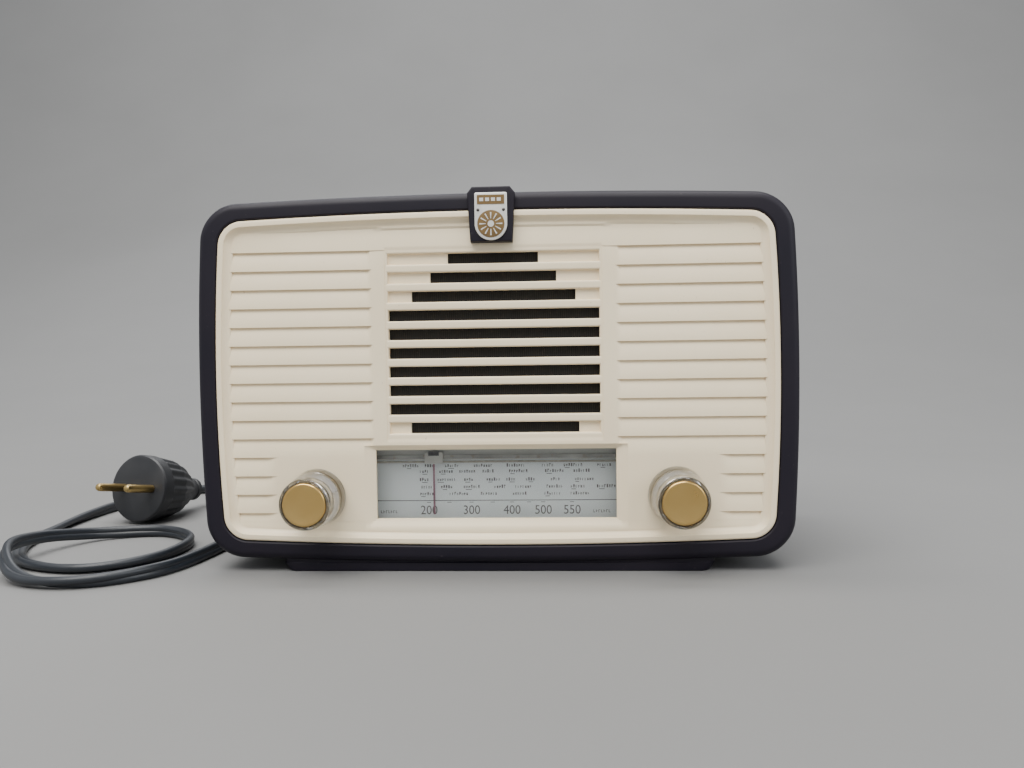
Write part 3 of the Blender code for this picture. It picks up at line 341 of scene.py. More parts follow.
def make_finishes():
    """Every finish by its short name."""
    made = {
        "bakelite": finish(
            "bakelite", (0.0074, 0.0062, 0.0124), (0.0112, 0.0082, 0.0145), (0.44, 0.58), 0.05, 0.0009, 1.2e-5,
            Specular_IOR_Level=0.26,
        ),
        "ivory": finish(
            "ivory", (0.93, 0.80, 0.575), (0.87, 0.735, 0.515), (0.34, 0.5), 0.06, 0.0005, 0.9e-5, Coat_Weight=0.12,
            Coat_Roughness=0.3, Subsurface_Weight=0.04, Subsurface_Radius=(0.004, 0.003, 0.002),
        ),
        "clear": finish(
            "clear", (0.64, 0.635, 0.62), (0.57, 0.565, 0.55), (0.03, 0.12), 0.01, 0.0004, 2e-6,
            Transmission_Weight=1.0, IOR=1.46,
        ),
        "glass": finish(
            "glass", (0.97, 0.98, 0.98), (0.94, 0.96, 0.95), (0.01, 0.05), 0.02, 0.004, 3e-6,
            Transmission_Weight=1.0, IOR=1.45,
        ),
        "silver": finish(
            "silver", (0.80, 0.79, 0.75), (0.68, 0.67, 0.63), (0.3, 0.45), 0.004, 0.0003, 6e-6, Metallic=0.55,
        ),
        "enamel": finish(
            "enamel", (0.23, 0.145, 0.055), (0.15, 0.095, 0.04), (0.3, 0.5), 0.003, 0.0003, 8e-6, Metallic=0.4,
        ),
        # Dark enamel for the badge rivets; the same finish is painted shadow on the thin rings round the knob caps.
        "dark_enamel_and_painted_shadow": finish(
            "dark_enamel_and_painted_shadow", (0.035, 0.028, 0.03), (0.05, 0.04, 0.035), (0.3, 0.5), 0.003, 0.0003, 5e-6,
        ),
        "scale": finish("scale_paint", (0.93, 0.97, 0.98), (0.88, 0.93, 0.95), (0.35, 0.55), 0.02, 0.0006, 6e-6),
        "scale_dark": finish("scale_shade", (0.80, 0.80, 0.74), (0.86, 0.86, 0.80), (0.5, 0.7), 0.02, 0.0006, 6e-6),
        "print": finish("scale_print", (0.13, 0.135, 0.145), (0.19, 0.19, 0.20), (0.5, 0.7), 0.004, 0.0006, 4e-6),
        "white": finish("white_paint", (0.66, 0.65, 0.60), (0.55, 0.54, 0.50), (0.4, 0.6), 0.006, 0.0005, 6e-6),
        "mauve": finish("mauve_paint", (0.34, 0.16, 0.21), (0.27, 0.12, 0.17), (0.4, 0.6), 0.006, 0.0004, 6e-6),
        "cloth": finish(
            "speaker_cloth", (0.0065, 0.007, 0.006), (0.0105, 0.009, 0.0075), (0.85, 0.95), 0.02, 0.0004, 3e-5,
        ),
        "paper": finish("cone_paper", (0.045, 0.030, 0.020), (0.030, 0.020, 0.014), (0.85, 0.95), 0.01, 0.0008, 5e-5),
        "board": finish("fibre_board", (0.105, 0.062, 0.034), (0.065, 0.037, 0.020), (0.75, 0.9), 0.02, 0.0009, 9e-5,
                        (1, 1, 0.35)),
        "steel": finish("plated_steel", (0.36, 0.355, 0.33), (0.24, 0.235, 0.215), (0.32, 0.55), 0.012, 0.0006, 1.5e-5,
                        Metallic=0.9),
        "brass": finish(
            "brass", (0.56, 0.41, 0.17), (0.40, 0.28, 0.11), (0.25, 0.42), 0.006, 0.0004, 1e-5, Metallic=1.0,
        ),
        "aluminium": finish("aluminium", (0.55, 0.56, 0.56), (0.44, 0.44, 0.43), (0.3, 0.5), 0.01, 0.0004, 1e-5,
                            (0.12, 1, 1), Metallic=1.0),
        "ceramic": finish("ceramic", (0.46, 0.40, 0.29), (0.35, 0.29, 0.20), (0.5, 0.7), 0.008, 0.0005, 4e-5),
        "valve_glass": finish("valve_glass", (0.90, 0.93, 0.92), (0.80, 0.83, 0.83), (0.03, 0.09), 0.01, 0.002, 4e-6,
                              Transmission_Weight=0.82, IOR=1.42),
        "winding": finish("winding", (0.34, 0.13, 0.055), (0.23, 0.085, 0.035), (0.35, 0.55), 0.006, 0.0003, 2e-5,
                          Metallic=0.5),
        "rubber": finish("cord_rubber", (0.011, 0.014, 0.019), (0.017, 0.020, 0.026), (0.32, 0.5), 0.03, 0.0005, 2e-5),
        "plug": finish("plug_rubber", (0.012, 0.013, 0.016), (0.020, 0.021, 0.024), (0.38, 0.6), 0.012, 0.0006, 4e-5),
        "thread": finish("drive_thread", (0.52, 0.49, 0.41), (0.36, 0.33, 0.27), (0.8, 0.9), 0.002, 0.0003, 5e-5),
        "floor": finish("floor_paper", (0.180, 0.180, 0.179), (0.170, 0.170, 0.169), (0.8, 0.9), 0.4, 0.003, 3e-5),
    }
    specks(made["bakelite"], (0.060, 0.052, 0.058), 0.0016, 0.70, 0.35)
    specks(made["ivory"], (0.42, 0.34, 0.22), 0.0013, 0.735, 0.45)
    specks(made["board"], (0.17, 0.11, 0.07), 0.0011, 0.60, 0.6)
    specks(made["steel"], (0.20, 0.12, 0.07), 0.004, 0.62, 0.5)
    specks(made["cloth"], (0.020, 0.017, 0.013), 0.0012, 0.60, 0.6)
    stripes(made["cloth"], (0.004, 0.004, 0.004), 0.0009, "X", 6e-5)
    stripes(made["winding"], (0.10, 0.035, 0.015), 0.0005, "Z", 8e-5)
    for side, name in ((-1, "gold_left"), (1, "gold_right")):
        made[name] = spun(
            finish(name, (0.74, 0.51, 0.195), (0.62, 0.41, 0.145), (0.16, 0.30), 0.012, 0.0006, 5e-6, Metallic=1.0),
            (side * KNOB_X, KNOB_Z), 2.5e-6,
        )
    return made


# ---------------------------------------------------------------- cabinet
def make_cabinet(finishes):
    """The outline carried along Y: a quarter ellipse rolls the front edge over, the drafted wall runs back, and the
    inside returns with the rebate for the back cover and the flange for the ivory front."""
    arc = np.linspace(0, math.pi / 2, 9)
    rim = [(0.0036 * (1 - math.cos(a)), FRONT_Y + 0.0038 * (1 - math.sin(a))) for a in arc]
    rings = [cabinet(DRAFT, BACK_Y), cabinet(DRAFT - 0.0004, BACK_Y - 0.0006)]
    rings += [cabinet(DRAFT * (1 - s), FRONT_Y + 0.0038 + 0.118 * (1 - s)) for s in (0.04, 0.35, 0.7)]
    rings += [cabinet(inset, y) for inset, y in rim]
    rings += [
        panel(-0.0010, FRONT_Y),
        panel(-0.0005, FRONT_Y + 0.0003),
        panel(-GAP, FRONT_Y + 0.0007),
        panel(-GAP, FLANGE_Y - GAP),
        cabinet(WALL, FLANGE_Y - GAP),
        cabinet(DRAFT + WALL, BACK_Y - REBATE_DEPTH),
        cabinet(DRAFT + REBATE_WALL, BACK_Y - REBATE_DEPTH),
        cabinet(DRAFT + REBATE_WALL, BACK_Y),
    ]
    piece("cabinet_body", [loft(np.stack(rings), capped=False)], finishes["bakelite"],
          stands_for=["cabinet_shell"], sharp=28)

    stations = [(0.0, 0.0011), (0.0, 0.0005), (0.0004, 0.0001), (0.0011, 0.0), (0.0035, 0.0), (0.0039, 0.0004),
                (0.0062, 0.0004)]
    rings = []
    for z, inset in stations:
        half = 0.0895 + 0.0025 * min(z / PLINTH_HEIGHT, 1) - inset
        flat = rounded(half, 0.056 - inset, 0.004, 6, 8)
        rings.append(np.stack([flat[:, 0], flat[:, 1] - 0.004, np.full(len(flat), z)], axis=1))
    piece("plinth", [loft(np.stack(rings))], finishes["bakelite"], sharp=28)

    bosses = []
    for x in (-0.114, 0.114):
        for z in (0.0183, 0.1447):
            bosses.append(turned([(0, 0.0325), (0.0054, 0.0325), (0.0060, 0.0331), (0.0060, 0.0586), (0.0022, 0.0586),
                                  (0.0022, 0.050), (0, 0.050)], (x, 0, z), steps=40))
    piece("cover_bosses", bosses, finishes["bakelite"])


def tongue_outline(inset):
    """Half-breadths by height, mirrored: a taper that widens upwards and is cut across at its top corners."""
    right = np.array([(0.0087, 0.1379), (0.0098, 0.1580), (0.0078, 0.1605)])
    right[:, 0] -= inset
    right[0, 1] += inset
    right[1, 1] -= 0.4 * inset
    right[2, 1] -= inset
    right = np.concatenate([np.linspace(right[i], right[i + 1], 8)[:-1] for i in range(2)] + [right[2:]])
    left = right[::-1] * (-1, 1)
    return np.concatenate([right, left])


def badge_outline(inset):
    """A plate with straight sides and top and a half-round foot."""
    angle = np.linspace(math.pi, 2 * math.pi, 40)
    foot = np.stack([BADGE_RADIUS * np.cos(angle), BADGE_Z + BADGE_RADIUS * np.sin(angle)], axis=1)
    foot = (foot - (0, BADGE_Z)) * (BADGE_RADIUS - inset) / BADGE_RADIUS + (0, BADGE_Z)
    top = 0.1578 - inset
    corners = np.array([(0.0067 - inset - 0.0004, top), (-0.0067 + inset + 0.0004, top)])
    shoulder = np.array([(0.0067 - inset, top - 0.0004), (-0.0067 + inset, top - 0.0004)])
    return np.concatenate([foot, shoulder[:1], corners, shoulder[1:]])


def make_badge(finishes):
    """The bakelite tongue over the top of the front, with a plain shield on it: bars over a round of rays."""
    piece("badge_tongue", [lozenge(tongue_outline, 0.0007, -0.0650, -0.0588)], finishes["bakelite"],
          sharp=26)
    piece("badge_shield", [lozenge(badge_outline, 0.0003, -0.0658, -0.0653)], finishes["silver"],
          stands_for=["badge_plate"])
    bed = lambda inset: np.array([(0.0056, 0.1530), (0.0056, 0.1568), (-0.0056, 0.1568), (-0.0056, 0.1530)])
    angle = np.linspace(0, 2 * math.pi, 72, endpoint=False)
    disc = lambda inset: np.stack(
        [(0.0056 - inset) * np.cos(angle), BADGE_Z + (0.0056 - inset) * np.sin(angle)], axis=1
    )
    piece("badge_ground", [lozenge(bed, 0.0, -0.0660, -0.0657), lozenge(disc, 0.0001, -0.0660, -0.0657)],
          finishes["enamel"])
    bars = np.array([(-0.0046 + 0.0024 * k, 0.1542) for k in range(4)])
    low = np.stack([bars[:, 0], np.full(4, -0.0661), bars[:, 1]], axis=1)
    turns = np.linspace(0, 2 * math.pi, 12, endpoint=False)
    rays = []
    for turn in turns:
        way, side = np.array([math.cos(turn), math.sin(turn)]), np.array([-math.sin(turn), math.cos(turn)])
        corner = [(0.0021, -0.00012), (0.0047, -0.00030), (0.0047, 0.00030), (0.0021, 0.00012)]
        ray = np.array([way * a + side * b + (0, BADGE_Z) for a, b in corner])
        rays.append(lozenge(lambda inset, ray=ray: ray, 0.0, -0.0661, -0.0659))
    hub = lambda inset: np.stack([0.0013 * np.cos(angle), BADGE_Z + 0.0013 * np.sin(angle)], axis=1)
    piece("badge_marks", [blocks(low, low + (0.0016, 0.0003, 0.0014)), lozenge(hub, 0.0, -0.0661, -0.0659)] + rays,
          finishes["silver"])
    rivets = [turned([(0, -0.0662), (0.0003, -0.06618), (0.0006, -0.0660), (0.0007, -0.0657), (0, -0.0657)],
                     (x, 0, 0.1507), steps=32) for x in (-0.00527, 0.00527)]
    piece("badge_rivets", rivets, finishes["dark_enamel_and_painted_shadow"], stands_for=["badge_rivet_left", "badge_rivet_right"])


# ---------------------------------------------------------------- ivory front
def ease(value):
    """Nought to one with a soft start and end."""
    value = np.clip(value, 0, 1)
    return value * value * (3 - 2 * value)


def slat_relief(x, z):
    """How far the slats lie behind the land. Under each line the face starts a groove deep and rises, on a curve that
    bends less and less, to the next line. Each line has its own reach across, and fades at its ends."""
    far = np.abs(x)
    down = (TOP_LINE_Z - z) / PITCH
    line = np.floor(down).astype(int)
    along = np.clip(down - line, 0, 1)
    shape = (1 - along) ** 1.9
    long_reach = ease((far - LONG_SLAT_X) / LONG_FADE)
    short_reach = ease((far - SHORT_SLAT_X) / SHORT_FADE)
    top_reach = 1 - 0.55 * ease((0.062 - far) / 0.02) * (far < GRILLE_X + 0.004)
    reach = np.select([line < 0, line == 0, line <= 10, line <= 14], [0 * far, long_reach, long_reach, short_reach], 0)
    depth = GROOVE * reach * shape
    upper = (UPPER_LINE_Z - z) / 0.0091
    over = (upper >= 0) & (line < 0)
    depth = np.where(over, 0.0007 * (1 - np.clip(upper, 0, 1)) ** 1.9 * (1 - ease((far - 0.080) / 0.03)), depth)
    head = (line == 0) & (far < GRILLE_X + 0.010)
    return np.where(head, np.maximum(depth, 0.0004 * top_reach * shape), depth)


def slot_of(z):
    """The number of the slot whose height range holds z, or -1, and the distance outside the nearest one."""
    tops = TOP_LINE_Z - SLOT_DROP - PITCH * np.arange(10)
    beyond = np.maximum(z[..., None] - tops, tops - SLOT_HEIGHT - z[..., None])
    return beyond.argmin(axis=-1), beyond.min(axis=-1)


def field_depth(x, z):
    """Depth of the whole field behind the bead: slats, the soft edges of the grille bars, the pockets at the ends of
    the short slots, and the sloping frame of the dial window."""
    far = np.abs(x)
    depth = slat_relief(x, z)
    number, over = slot_of(z)
    tall = (z < TOP_LINE_Z + 0.0002) & (z > 0.0560)
    in_grille = (far < GRILLE_X) & tall
    depth = np.where(in_grille, 0.0003, depth)
    away = np.maximum(over, far - GRILLE_X + 0.0012)
    edge = 0.0007
    close = np.clip(edge - away, 0, edge)
    depth = depth + np.where(in_grille & (away > 0), edge - np.sqrt(edge**2 - close**2), 0)
    depth = np.where(in_grille & (away <= 0), POCKET, depth)
    out = np.maximum.reduce([
        (far - WINDOW_X) / FLARE_X, (WINDOW_LOW - z) / FLARE_LOW, (z - WINDOW_HIGH) / FLARE_HIGH,
    ])
    return np.where(out < 1, FLARE_DEPTH * (1 - np.clip(out, 0, 1)), depth)


def spread_lines(marks, step, fine):
    """Grid lines through every mark, with two more a hair to each side of it, and even ones between them."""
    marks = np.unique(np.concatenate([marks, marks - fine, marks + fine]))
    gaps = np.diff(marks)
    counts = np.maximum(1, np.ceil(gaps / step)).astype(int)
    runs = [np.linspace(a, b, n, endpoint=False) for a, b, n in zip(marks[:-1], marks[1:], counts)]
    return np.append(np.concatenate(runs), marks[-1])


def make_front(finishes):
    """The bead is a profile round the outline: a flat land, a thin step, and a cove that sinks to the field. The field
    is a grid over x and z whose depth is field_depth, with the slots, the window and the spindle holes left out, and
    margins that stretch from its straight edges to the curved outline under the bead. Its back is the same grid
    at one depth, and walls join them round every opening."""
    sink = np.linspace(0, 1, 9)
    profile = [(0, FLANGE_Y), (0, FRONT_Y + 0.0006), (0.0002, FRONT_Y + 0.0001), (0.0005, FRONT_Y - 0.0002),
               (0.0009, FRONT_Y - 0.0003), (0.0024, FRONT_Y - 0.0003), (0.0027, FRONT_Y), (0.00275, FRONT_Y + 0.0004)]
    profile += [(0.00285 + 0.0024 * s, FRONT_Y + 0.0005 + 0.0016 * (1 - (1 - s) ** 2)) for s in sink]
    profile += [(0.0056, FRONT_Y + 0.0024), (0.0056, FLANGE_Y)]
    piece("front_bead", [loft(np.stack([panel(i, y) for i, y in profile]), capped=False)], finishes["ivory"],
          sharp=38)

    tops = TOP_LINE_Z - SLOT_DROP - PITCH * np.arange(10)
    line_z = TOP_LINE_Z - PITCH * np.arange(15)
    curve = (np.arange(1, 6) / 6) ** 1.5 * 0.0007
    side_x = 0.1085
    low_z, high_z = MIDDLE_Z - FIELD_HALF_Z, MIDDLE_Z + FIELD_HALF_Z
    hole = 0.0068
    sharp_z = np.concatenate([
        tops, tops - SLOT_HEIGHT, line_z,
        [UPPER_LINE_Z, WINDOW_LOW, WINDOW_HIGH, WINDOW_LOW - FLARE_LOW, WINDOW_HIGH + FLARE_HIGH],
    ])
    sharp_z = sharp_z[(sharp_z > low_z + 0.001) & (sharp_z < high_z - 0.001)]
    soft_z = np.concatenate([(tops[:, None] + curve).ravel(), (tops[:, None] - SLOT_HEIGHT - curve).ravel(),
                             [low_z, high_z, KNOB_Z - hole, KNOB_Z + hole]])
    z_lines = np.unique(np.round(np.concatenate([spread_lines(np.append(sharp_z, [low_z, high_z]), 0.0009, 0.00004),
                                                 soft_z]), 6))
    z_lines = z_lines[(z_lines >= low_z) & (z_lines <= high_z)]
    sharp_x = np.concatenate([[WINDOW_X, WINDOW_X + FLARE_X, GRILLE_X, GRILLE_X - 0.0012], OPEN_HALF[[0, 1, 2, 9]]])
    soft_x = np.concatenate([
        GRILLE_X - 0.0012 + curve, np.linspace(LONG_SLAT_X, LONG_SLAT_X + LONG_FADE, 8),
        np.linspace(SHORT_SLAT_X, SHORT_SLAT_X + SHORT_FADE, 8), [KNOB_X - hole, KNOB_X + hole],
    ])
    spread_x = spread_lines(np.append(sharp_x, [0.0, side_x]), 0.0026, 0.00004)
    half = np.unique(np.round(np.concatenate([spread_x, soft_x]), 6))
    half = half[(half >= 0) & (half <= side_x)]
    x_lines = np.concatenate([-half[:0:-1], half])

    x, z = np.meshgrid(x_lines, z_lines, indexing="ij")
    flat = np.stack([x, np.zeros_like(x), z], axis=2)
    points, quads = patch(flat)
    centre = points[quads].mean(axis=1)
    far, cz = np.abs(centre[:, 0]), centre[:, 2]
    number, over = slot_of(cz)
    gone = (over < 0) & (far < np.minimum(OPEN_HALF[number], GRILLE_X - 0.0012))
    gone |= (far < WINDOW_X) & (cz > WINDOW_LOW) & (cz < WINDOW_HIGH)
    gone |= (np.abs(far - KNOB_X) < hole) & (np.abs(cz - KNOB_Z) < hole)
    sheets = [(points, quads[~gone])]

    for sign in (-1, 1):
        across = x_lines[(np.abs(x_lines - sign * KNOB_X) < hole + 1e-6)]
        up = z_lines[np.abs(z_lines - KNOB_Z) < hole + 1e-6]
        square = np.concatenate([
            np.stack([across[:-1], np.full(len(across) - 1, up[0])], axis=1),
            np.stack([np.full(len(up) - 1, across[-1]), up[:-1]], axis=1),
            np.stack([across[:0:-1], np.full(len(across) - 1, up[-1])], axis=1),
            np.stack([np.full(len(up) - 1, across[0]), up[:0:-1]], axis=1),
        ])
        middle = np.array([sign * KNOB_X, KNOB_Z])
        away = square - middle
        circle = middle + 0.0045 * away / np.linalg.norm(away, axis=1, keepdims=True)
        share = np.linspace(0, 1, 5)[:, None, None]
        rings = square * (1 - share) + circle * share
        sheets.append(patch(np.stack([rings[..., 0], 0 * rings[..., 0], rings[..., 1]], axis=2), columns_close=True))

    rim = panel(0.0050, 0.0)[:, [0, 2]]
    reach = np.linspace(0, 1, 6)[:, None]
    right = rim[rim[:, 0] > 0.05]
    right = right[np.argsort(right[:, 1])]
    top = rim[rim[:, 1] > MIDDLE_Z + 0.03]
    top = top[np.argsort(top[:, 0])]
    bottom_rim = rim[rim[:, 1] < MIDDLE_Z - 0.03]
    bottom_rim = bottom_rim[np.argsort(bottom_rim[:, 0])]
    edge_x = np.interp(z_lines, right[:, 1], right[:, 0])
    for sign in (-1, 1):
        across = sign * (side_x * (1 - reach) + edge_x * reach)
        sheets.append(patch(np.stack([across, 0 * across, np.broadcast_to(z_lines, across.shape)], axis=2)))
    for start, border in ((high_z, top), (low_z, bottom_rim)):
        up = start * (1 - reach) + np.interp(x_lines, border[:, 0], border[:, 1]) * reach
        sheets.append(patch(np.stack([np.broadcast_to(x_lines, up.shape), 0 * up, up], axis=2)))
    for sign_x in (-1, 1):
        for sign_z in (-1, 1):
            start = np.array([sign_x * side_x, MIDDLE_Z + sign_z * FIELD_HALF_Z])
            first = np.array([sign_x * np.interp(start[1], right[:, 1], right[:, 0]), start[1]])
            border = top if sign_z > 0 else bottom_rim
            last = np.array([start[0], np.interp(start[0], border[:, 0], border[:, 1])])
            away = (rim - start) * (sign_x, sign_z)
            between = rim[(away[:, 0] > 1e-6) & (away[:, 1] > 1e-6)]
            angle = np.arctan2(np.abs(between[:, 1] - start[1]), np.abs(between[:, 0] - start[0]))
            edge = np.concatenate([[first], between[np.argsort(angle)], [last]])
            fan = start * (1 - reach[..., None]) + edge * reach[..., None]
            sheets.append(patch(np.stack([fan[..., 0], 0 * fan[..., 0], fan[..., 1]], axis=2)))

    points, quads = together(sheets)
    _, first, index = np.unique(np.round(points * 1e7).astype(np.int64), axis=0, return_index=True, return_inverse=True)
    points, quads = points[first], index.reshape(-1)[quads]
    a, b, c, d = (points[quads[:, k]][:, [0, 2]] for k in range(4))
    area = np.cross(c - a, d - b)
    quads = np.where(area[:, None] < 0, quads[:, ::-1], quads)[np.abs(area) > 1e-14]
    front = points.copy()
    front[:, 1] = FIELD_Y + field_depth(points[:, 0], points[:, 2])
    back = points.copy()
    back[:, 1] = PANEL_BACK_Y
    edges = np.concatenate([quads[:, [k, (k + 1) % 4]] for k in range(4)])
    edges = edges[edges[:, 0] != edges[:, 1]]
    key, twin = edges[:, 0] * len(points) + edges[:, 1], edges[:, 1] * len(points) + edges[:, 0]
    border = edges[~np.isin(key, twin)]
    walls = np.stack([border[:, 1], border[:, 0], border[:, 0] + len(points), border[:, 1] + len(points)], axis=1)
    whole = np.concatenate([quads, quads[:, ::-1] + len(points), walls])
    piece("front_field", [(np.concatenate([front, back]), whole)], finishes["ivory"],
          stands_for=["front_panel"], sharp=30)


# ---------------------------------------------------------------- dial and knobs
def numeral_patch(words, height, at):
    """Flat text, made a mesh and then moved on to the scale by its middle, as (points, triangles in quad form)."""
    text = bpy.data.curves.new("numeral", "FONT")
    text.body, text.size, text.extrude = words, height * 1.38, 0.00003
    text.align_x, text.align_y, text.resolution_u = "CENTER", "CENTER", 4
    holder = bpy.data.objects.new("numeral", text)
    bpy.context.scene.collection.objects.link(holder)
    bpy.context.view_layer.update()
    mesh = bpy.data.meshes.new_from_object(holder.evaluated_get(bpy.context.evaluated_depsgraph_get()))
    bpy.data.objects.remove(holder, do_unlink=True)
    bpy.data.curves.remove(text)
    mesh.calc_loop_triangles()
    flat = np.zeros(len(mesh.vertices) * 3)
    mesh.vertices.foreach_get("co", flat)
    corners = np.zeros(len(mesh.loop_triangles) * 3, int)
    mesh.loop_triangles.foreach_get("vertices", corners)
    flat = flat.reshape(-1, 3)
    points = np.stack([flat[:, 0] * 0.92 + at[0], at[1] - flat[:, 2], flat[:, 1] + at[2]], axis=1)
    bpy.data.meshes.remove(mesh)
    return points, corners.reshape(-1, 3)


def make_numerals(finishes):
    """The wavelength numbers as one mesh of triangles."""
    parts = [numeral_patch(words, 0.0040, (x, -0.04758, 0.0237)) for words, x in
             (("200", -0.0302), ("300", -0.0115), ("400", 0.0062), ("500", 0.0198), ("550", 0.0323))]
    first = np.cumsum([0] + [len(points) for points, _ in parts[:-1]])
    points = np.concatenate([points for points, _ in parts])
    faces = np.concatenate([faces + start for (_, faces), start in zip(parts, first)])
    mesh = bpy.data.meshes.new("dial_numerals")
    mesh.from_pydata(points.tolist(), [], faces.tolist())
    bm = bmesh.new()
    bm.from_mesh(mesh)
    bmesh.ops.remove_doubles(bm, verts=bm.verts, dist=1e-7)
    bmesh.ops.recalc_face_normals(bm, faces=bm.faces)
    bm.to_mesh(mesh)
    bm.free()
    link("dial_numerals", mesh, finishes["print"], "set", (), 30)


def make_dial_print(finishes):
    """Rows of small upright strokes, which stand for station names without spelling any, with rules under some of
    them, a base line, ticks and numbers. Stroke places come from one seeded run of numbers."""
    rng = np.random.default_rng(11)
    low, high = [], []

    def mark(x0, x1, z0, z1):
        """One printed block between two corners on the scale."""
        low.append((x0, -0.04762, z0))
        high.append((x1, -0.0474, z1))

    for row, z in enumerate((0.0427, 0.0402, 0.0366, 0.0334, 0.0304)):
        x = -0.0500 + (0.010, 0.016, 0.014, 0.017, 0.016)[row] + rng.uniform(-0.002, 0.002)
        while x < 0.044:
            letters = rng.integers(4, 9)
            start = x
            for _ in range(letters):
                tall, wide = rng.uniform(0.0009, 0.0012), rng.uniform(0.00018, 0.0003)
                mark(x, x + wide, z, z + tall)
                if rng.random() < 0.7:
                    foot = z + rng.choice([0, 0.4, 0.8]) * tall
                    head = z + 0.0002 + rng.choice([0, 0.4, 0.75]) * tall + 0.0004
                    mark(x, x + 0.0006, foot, head)
                if rng.random() < 0.5:
                    mark(x + 0.00045, x + 0.00062, z, z + tall)
                x += 0.00105
            if rng.random() < 0.62:
                shift = rng.uniform(0, 0.002)
                mark(start + shift, start + shift + rng.uniform(0.0015, 0.003), z - 0.0007, z - 0.00045)
            x += rng.uniform(0.0022, 0.0075)
    mark(-0.0536, 0.0536, 0.02792, 0.02822)
    for x in (-0.0302, -0.0212, -0.0115, -0.0023, 0.0062, 0.0136, 0.0198, 0.0323):
        mark(x - 0.0009, x + 0.0009, 0.02715, 0.02738)
    for x in (-0.0515, 0.0415):
        for k in range(7):
            mark(x + 0.0011 * k, x + 0.0011 * k + 0.00022, 0.0226, 0.0238)
            mark(x + 0.0011 * k, x + 0.0011 * k + 0.0007, 0.0226 + 0.0005 * (k % 3), 0.0228 + 0.0005 * (k % 3))
    piece("dial_print", [blocks(np.array(low), np.array(high))], finishes["print"])
    shade = blocks([(-0.0538, -0.0477, 0.0460)], [(0.0538, -0.0474, 0.0543)])
    piece("dial_shade", [shade], finishes["scale_dark"])
    make_numerals(finishes)
    piece("carriage_cap", [blocks([(-0.0297, -0.0509, 0.0481)], [(-0.0251, -0.0497, 0.0498)])], finishes["bakelite"],
          body="pointer")


def make_knobs(finishes):
    """Clear tapered cups with a rolled front rim, each round a dished, spun gold cap, with a thin dark ring of painted
    shadow at the cap's edge.
    """
    cup = [(0, 0.0018), (0.0088, 0.0018), (0.0091, 0.0014), (0.0091, 0.0003), (0.0093, 0.0), (0.0099, 0.0),
           (0.0102, 0.0003), (0.0104, 0.0010), (0.0106, 0.0030), (0.0110, 0.0080), (0.0114, 0.0120), (0.0119, 0.0165),
           (0.0121, 0.0188), (0.0120, 0.0196), (0.0116, 0.0200), (0.0100, 0.0200), (0.0088, 0.0188), (0.0062, 0.0184),
           (0.0060, 0.0170), (0.0033, 0.0170), (0.0033, 0.0095), (0, 0.0095)]
    dish = [(0, 0.00045), (0.0030, 0.0004), (0.0060, 0.0002), (0.0076, 0.00005), (0.0081, 0.0), (0.0085, 0.0001),
            (0.0088, 0.0005), (0.0089, 0.0012), (0, 0.0012)]
    ring = [(0.0085, 0.00125), (0.0090, 0.0010), (0.00905, 0.00125), (0.0090, 0.00165), (0.0085, 0.00165),
            (0.0085, 0.00125)]
    for sign, name in ((-1, "volume"), (1, "tuning")):
        side = "left" if sign < 0 else "right"
        body = name + "_control"
        at = (sign * KNOB_X, -0.0814, KNOB_Z)
        piece(name + "_cup", [turned(cup, at, steps=128)], finishes["clear"], body, [name + "_knob"], sharp=40)
        cap = (sign * KNOB_X, -0.0816, KNOB_Z)
        piece(name + "_disc", [turned(dish, cap, steps=128)], finishes["gold_" + side], body, [name + "_cap"],
              sharp=40)
        # A thin dark ring round the edge of each gold cap: painted shadow of the gap between cap and cup.
        piece(name + "_shadow_ring", [turned(ring, cap, steps=96)], finishes["dark_enamel_and_painted_shadow"], body)


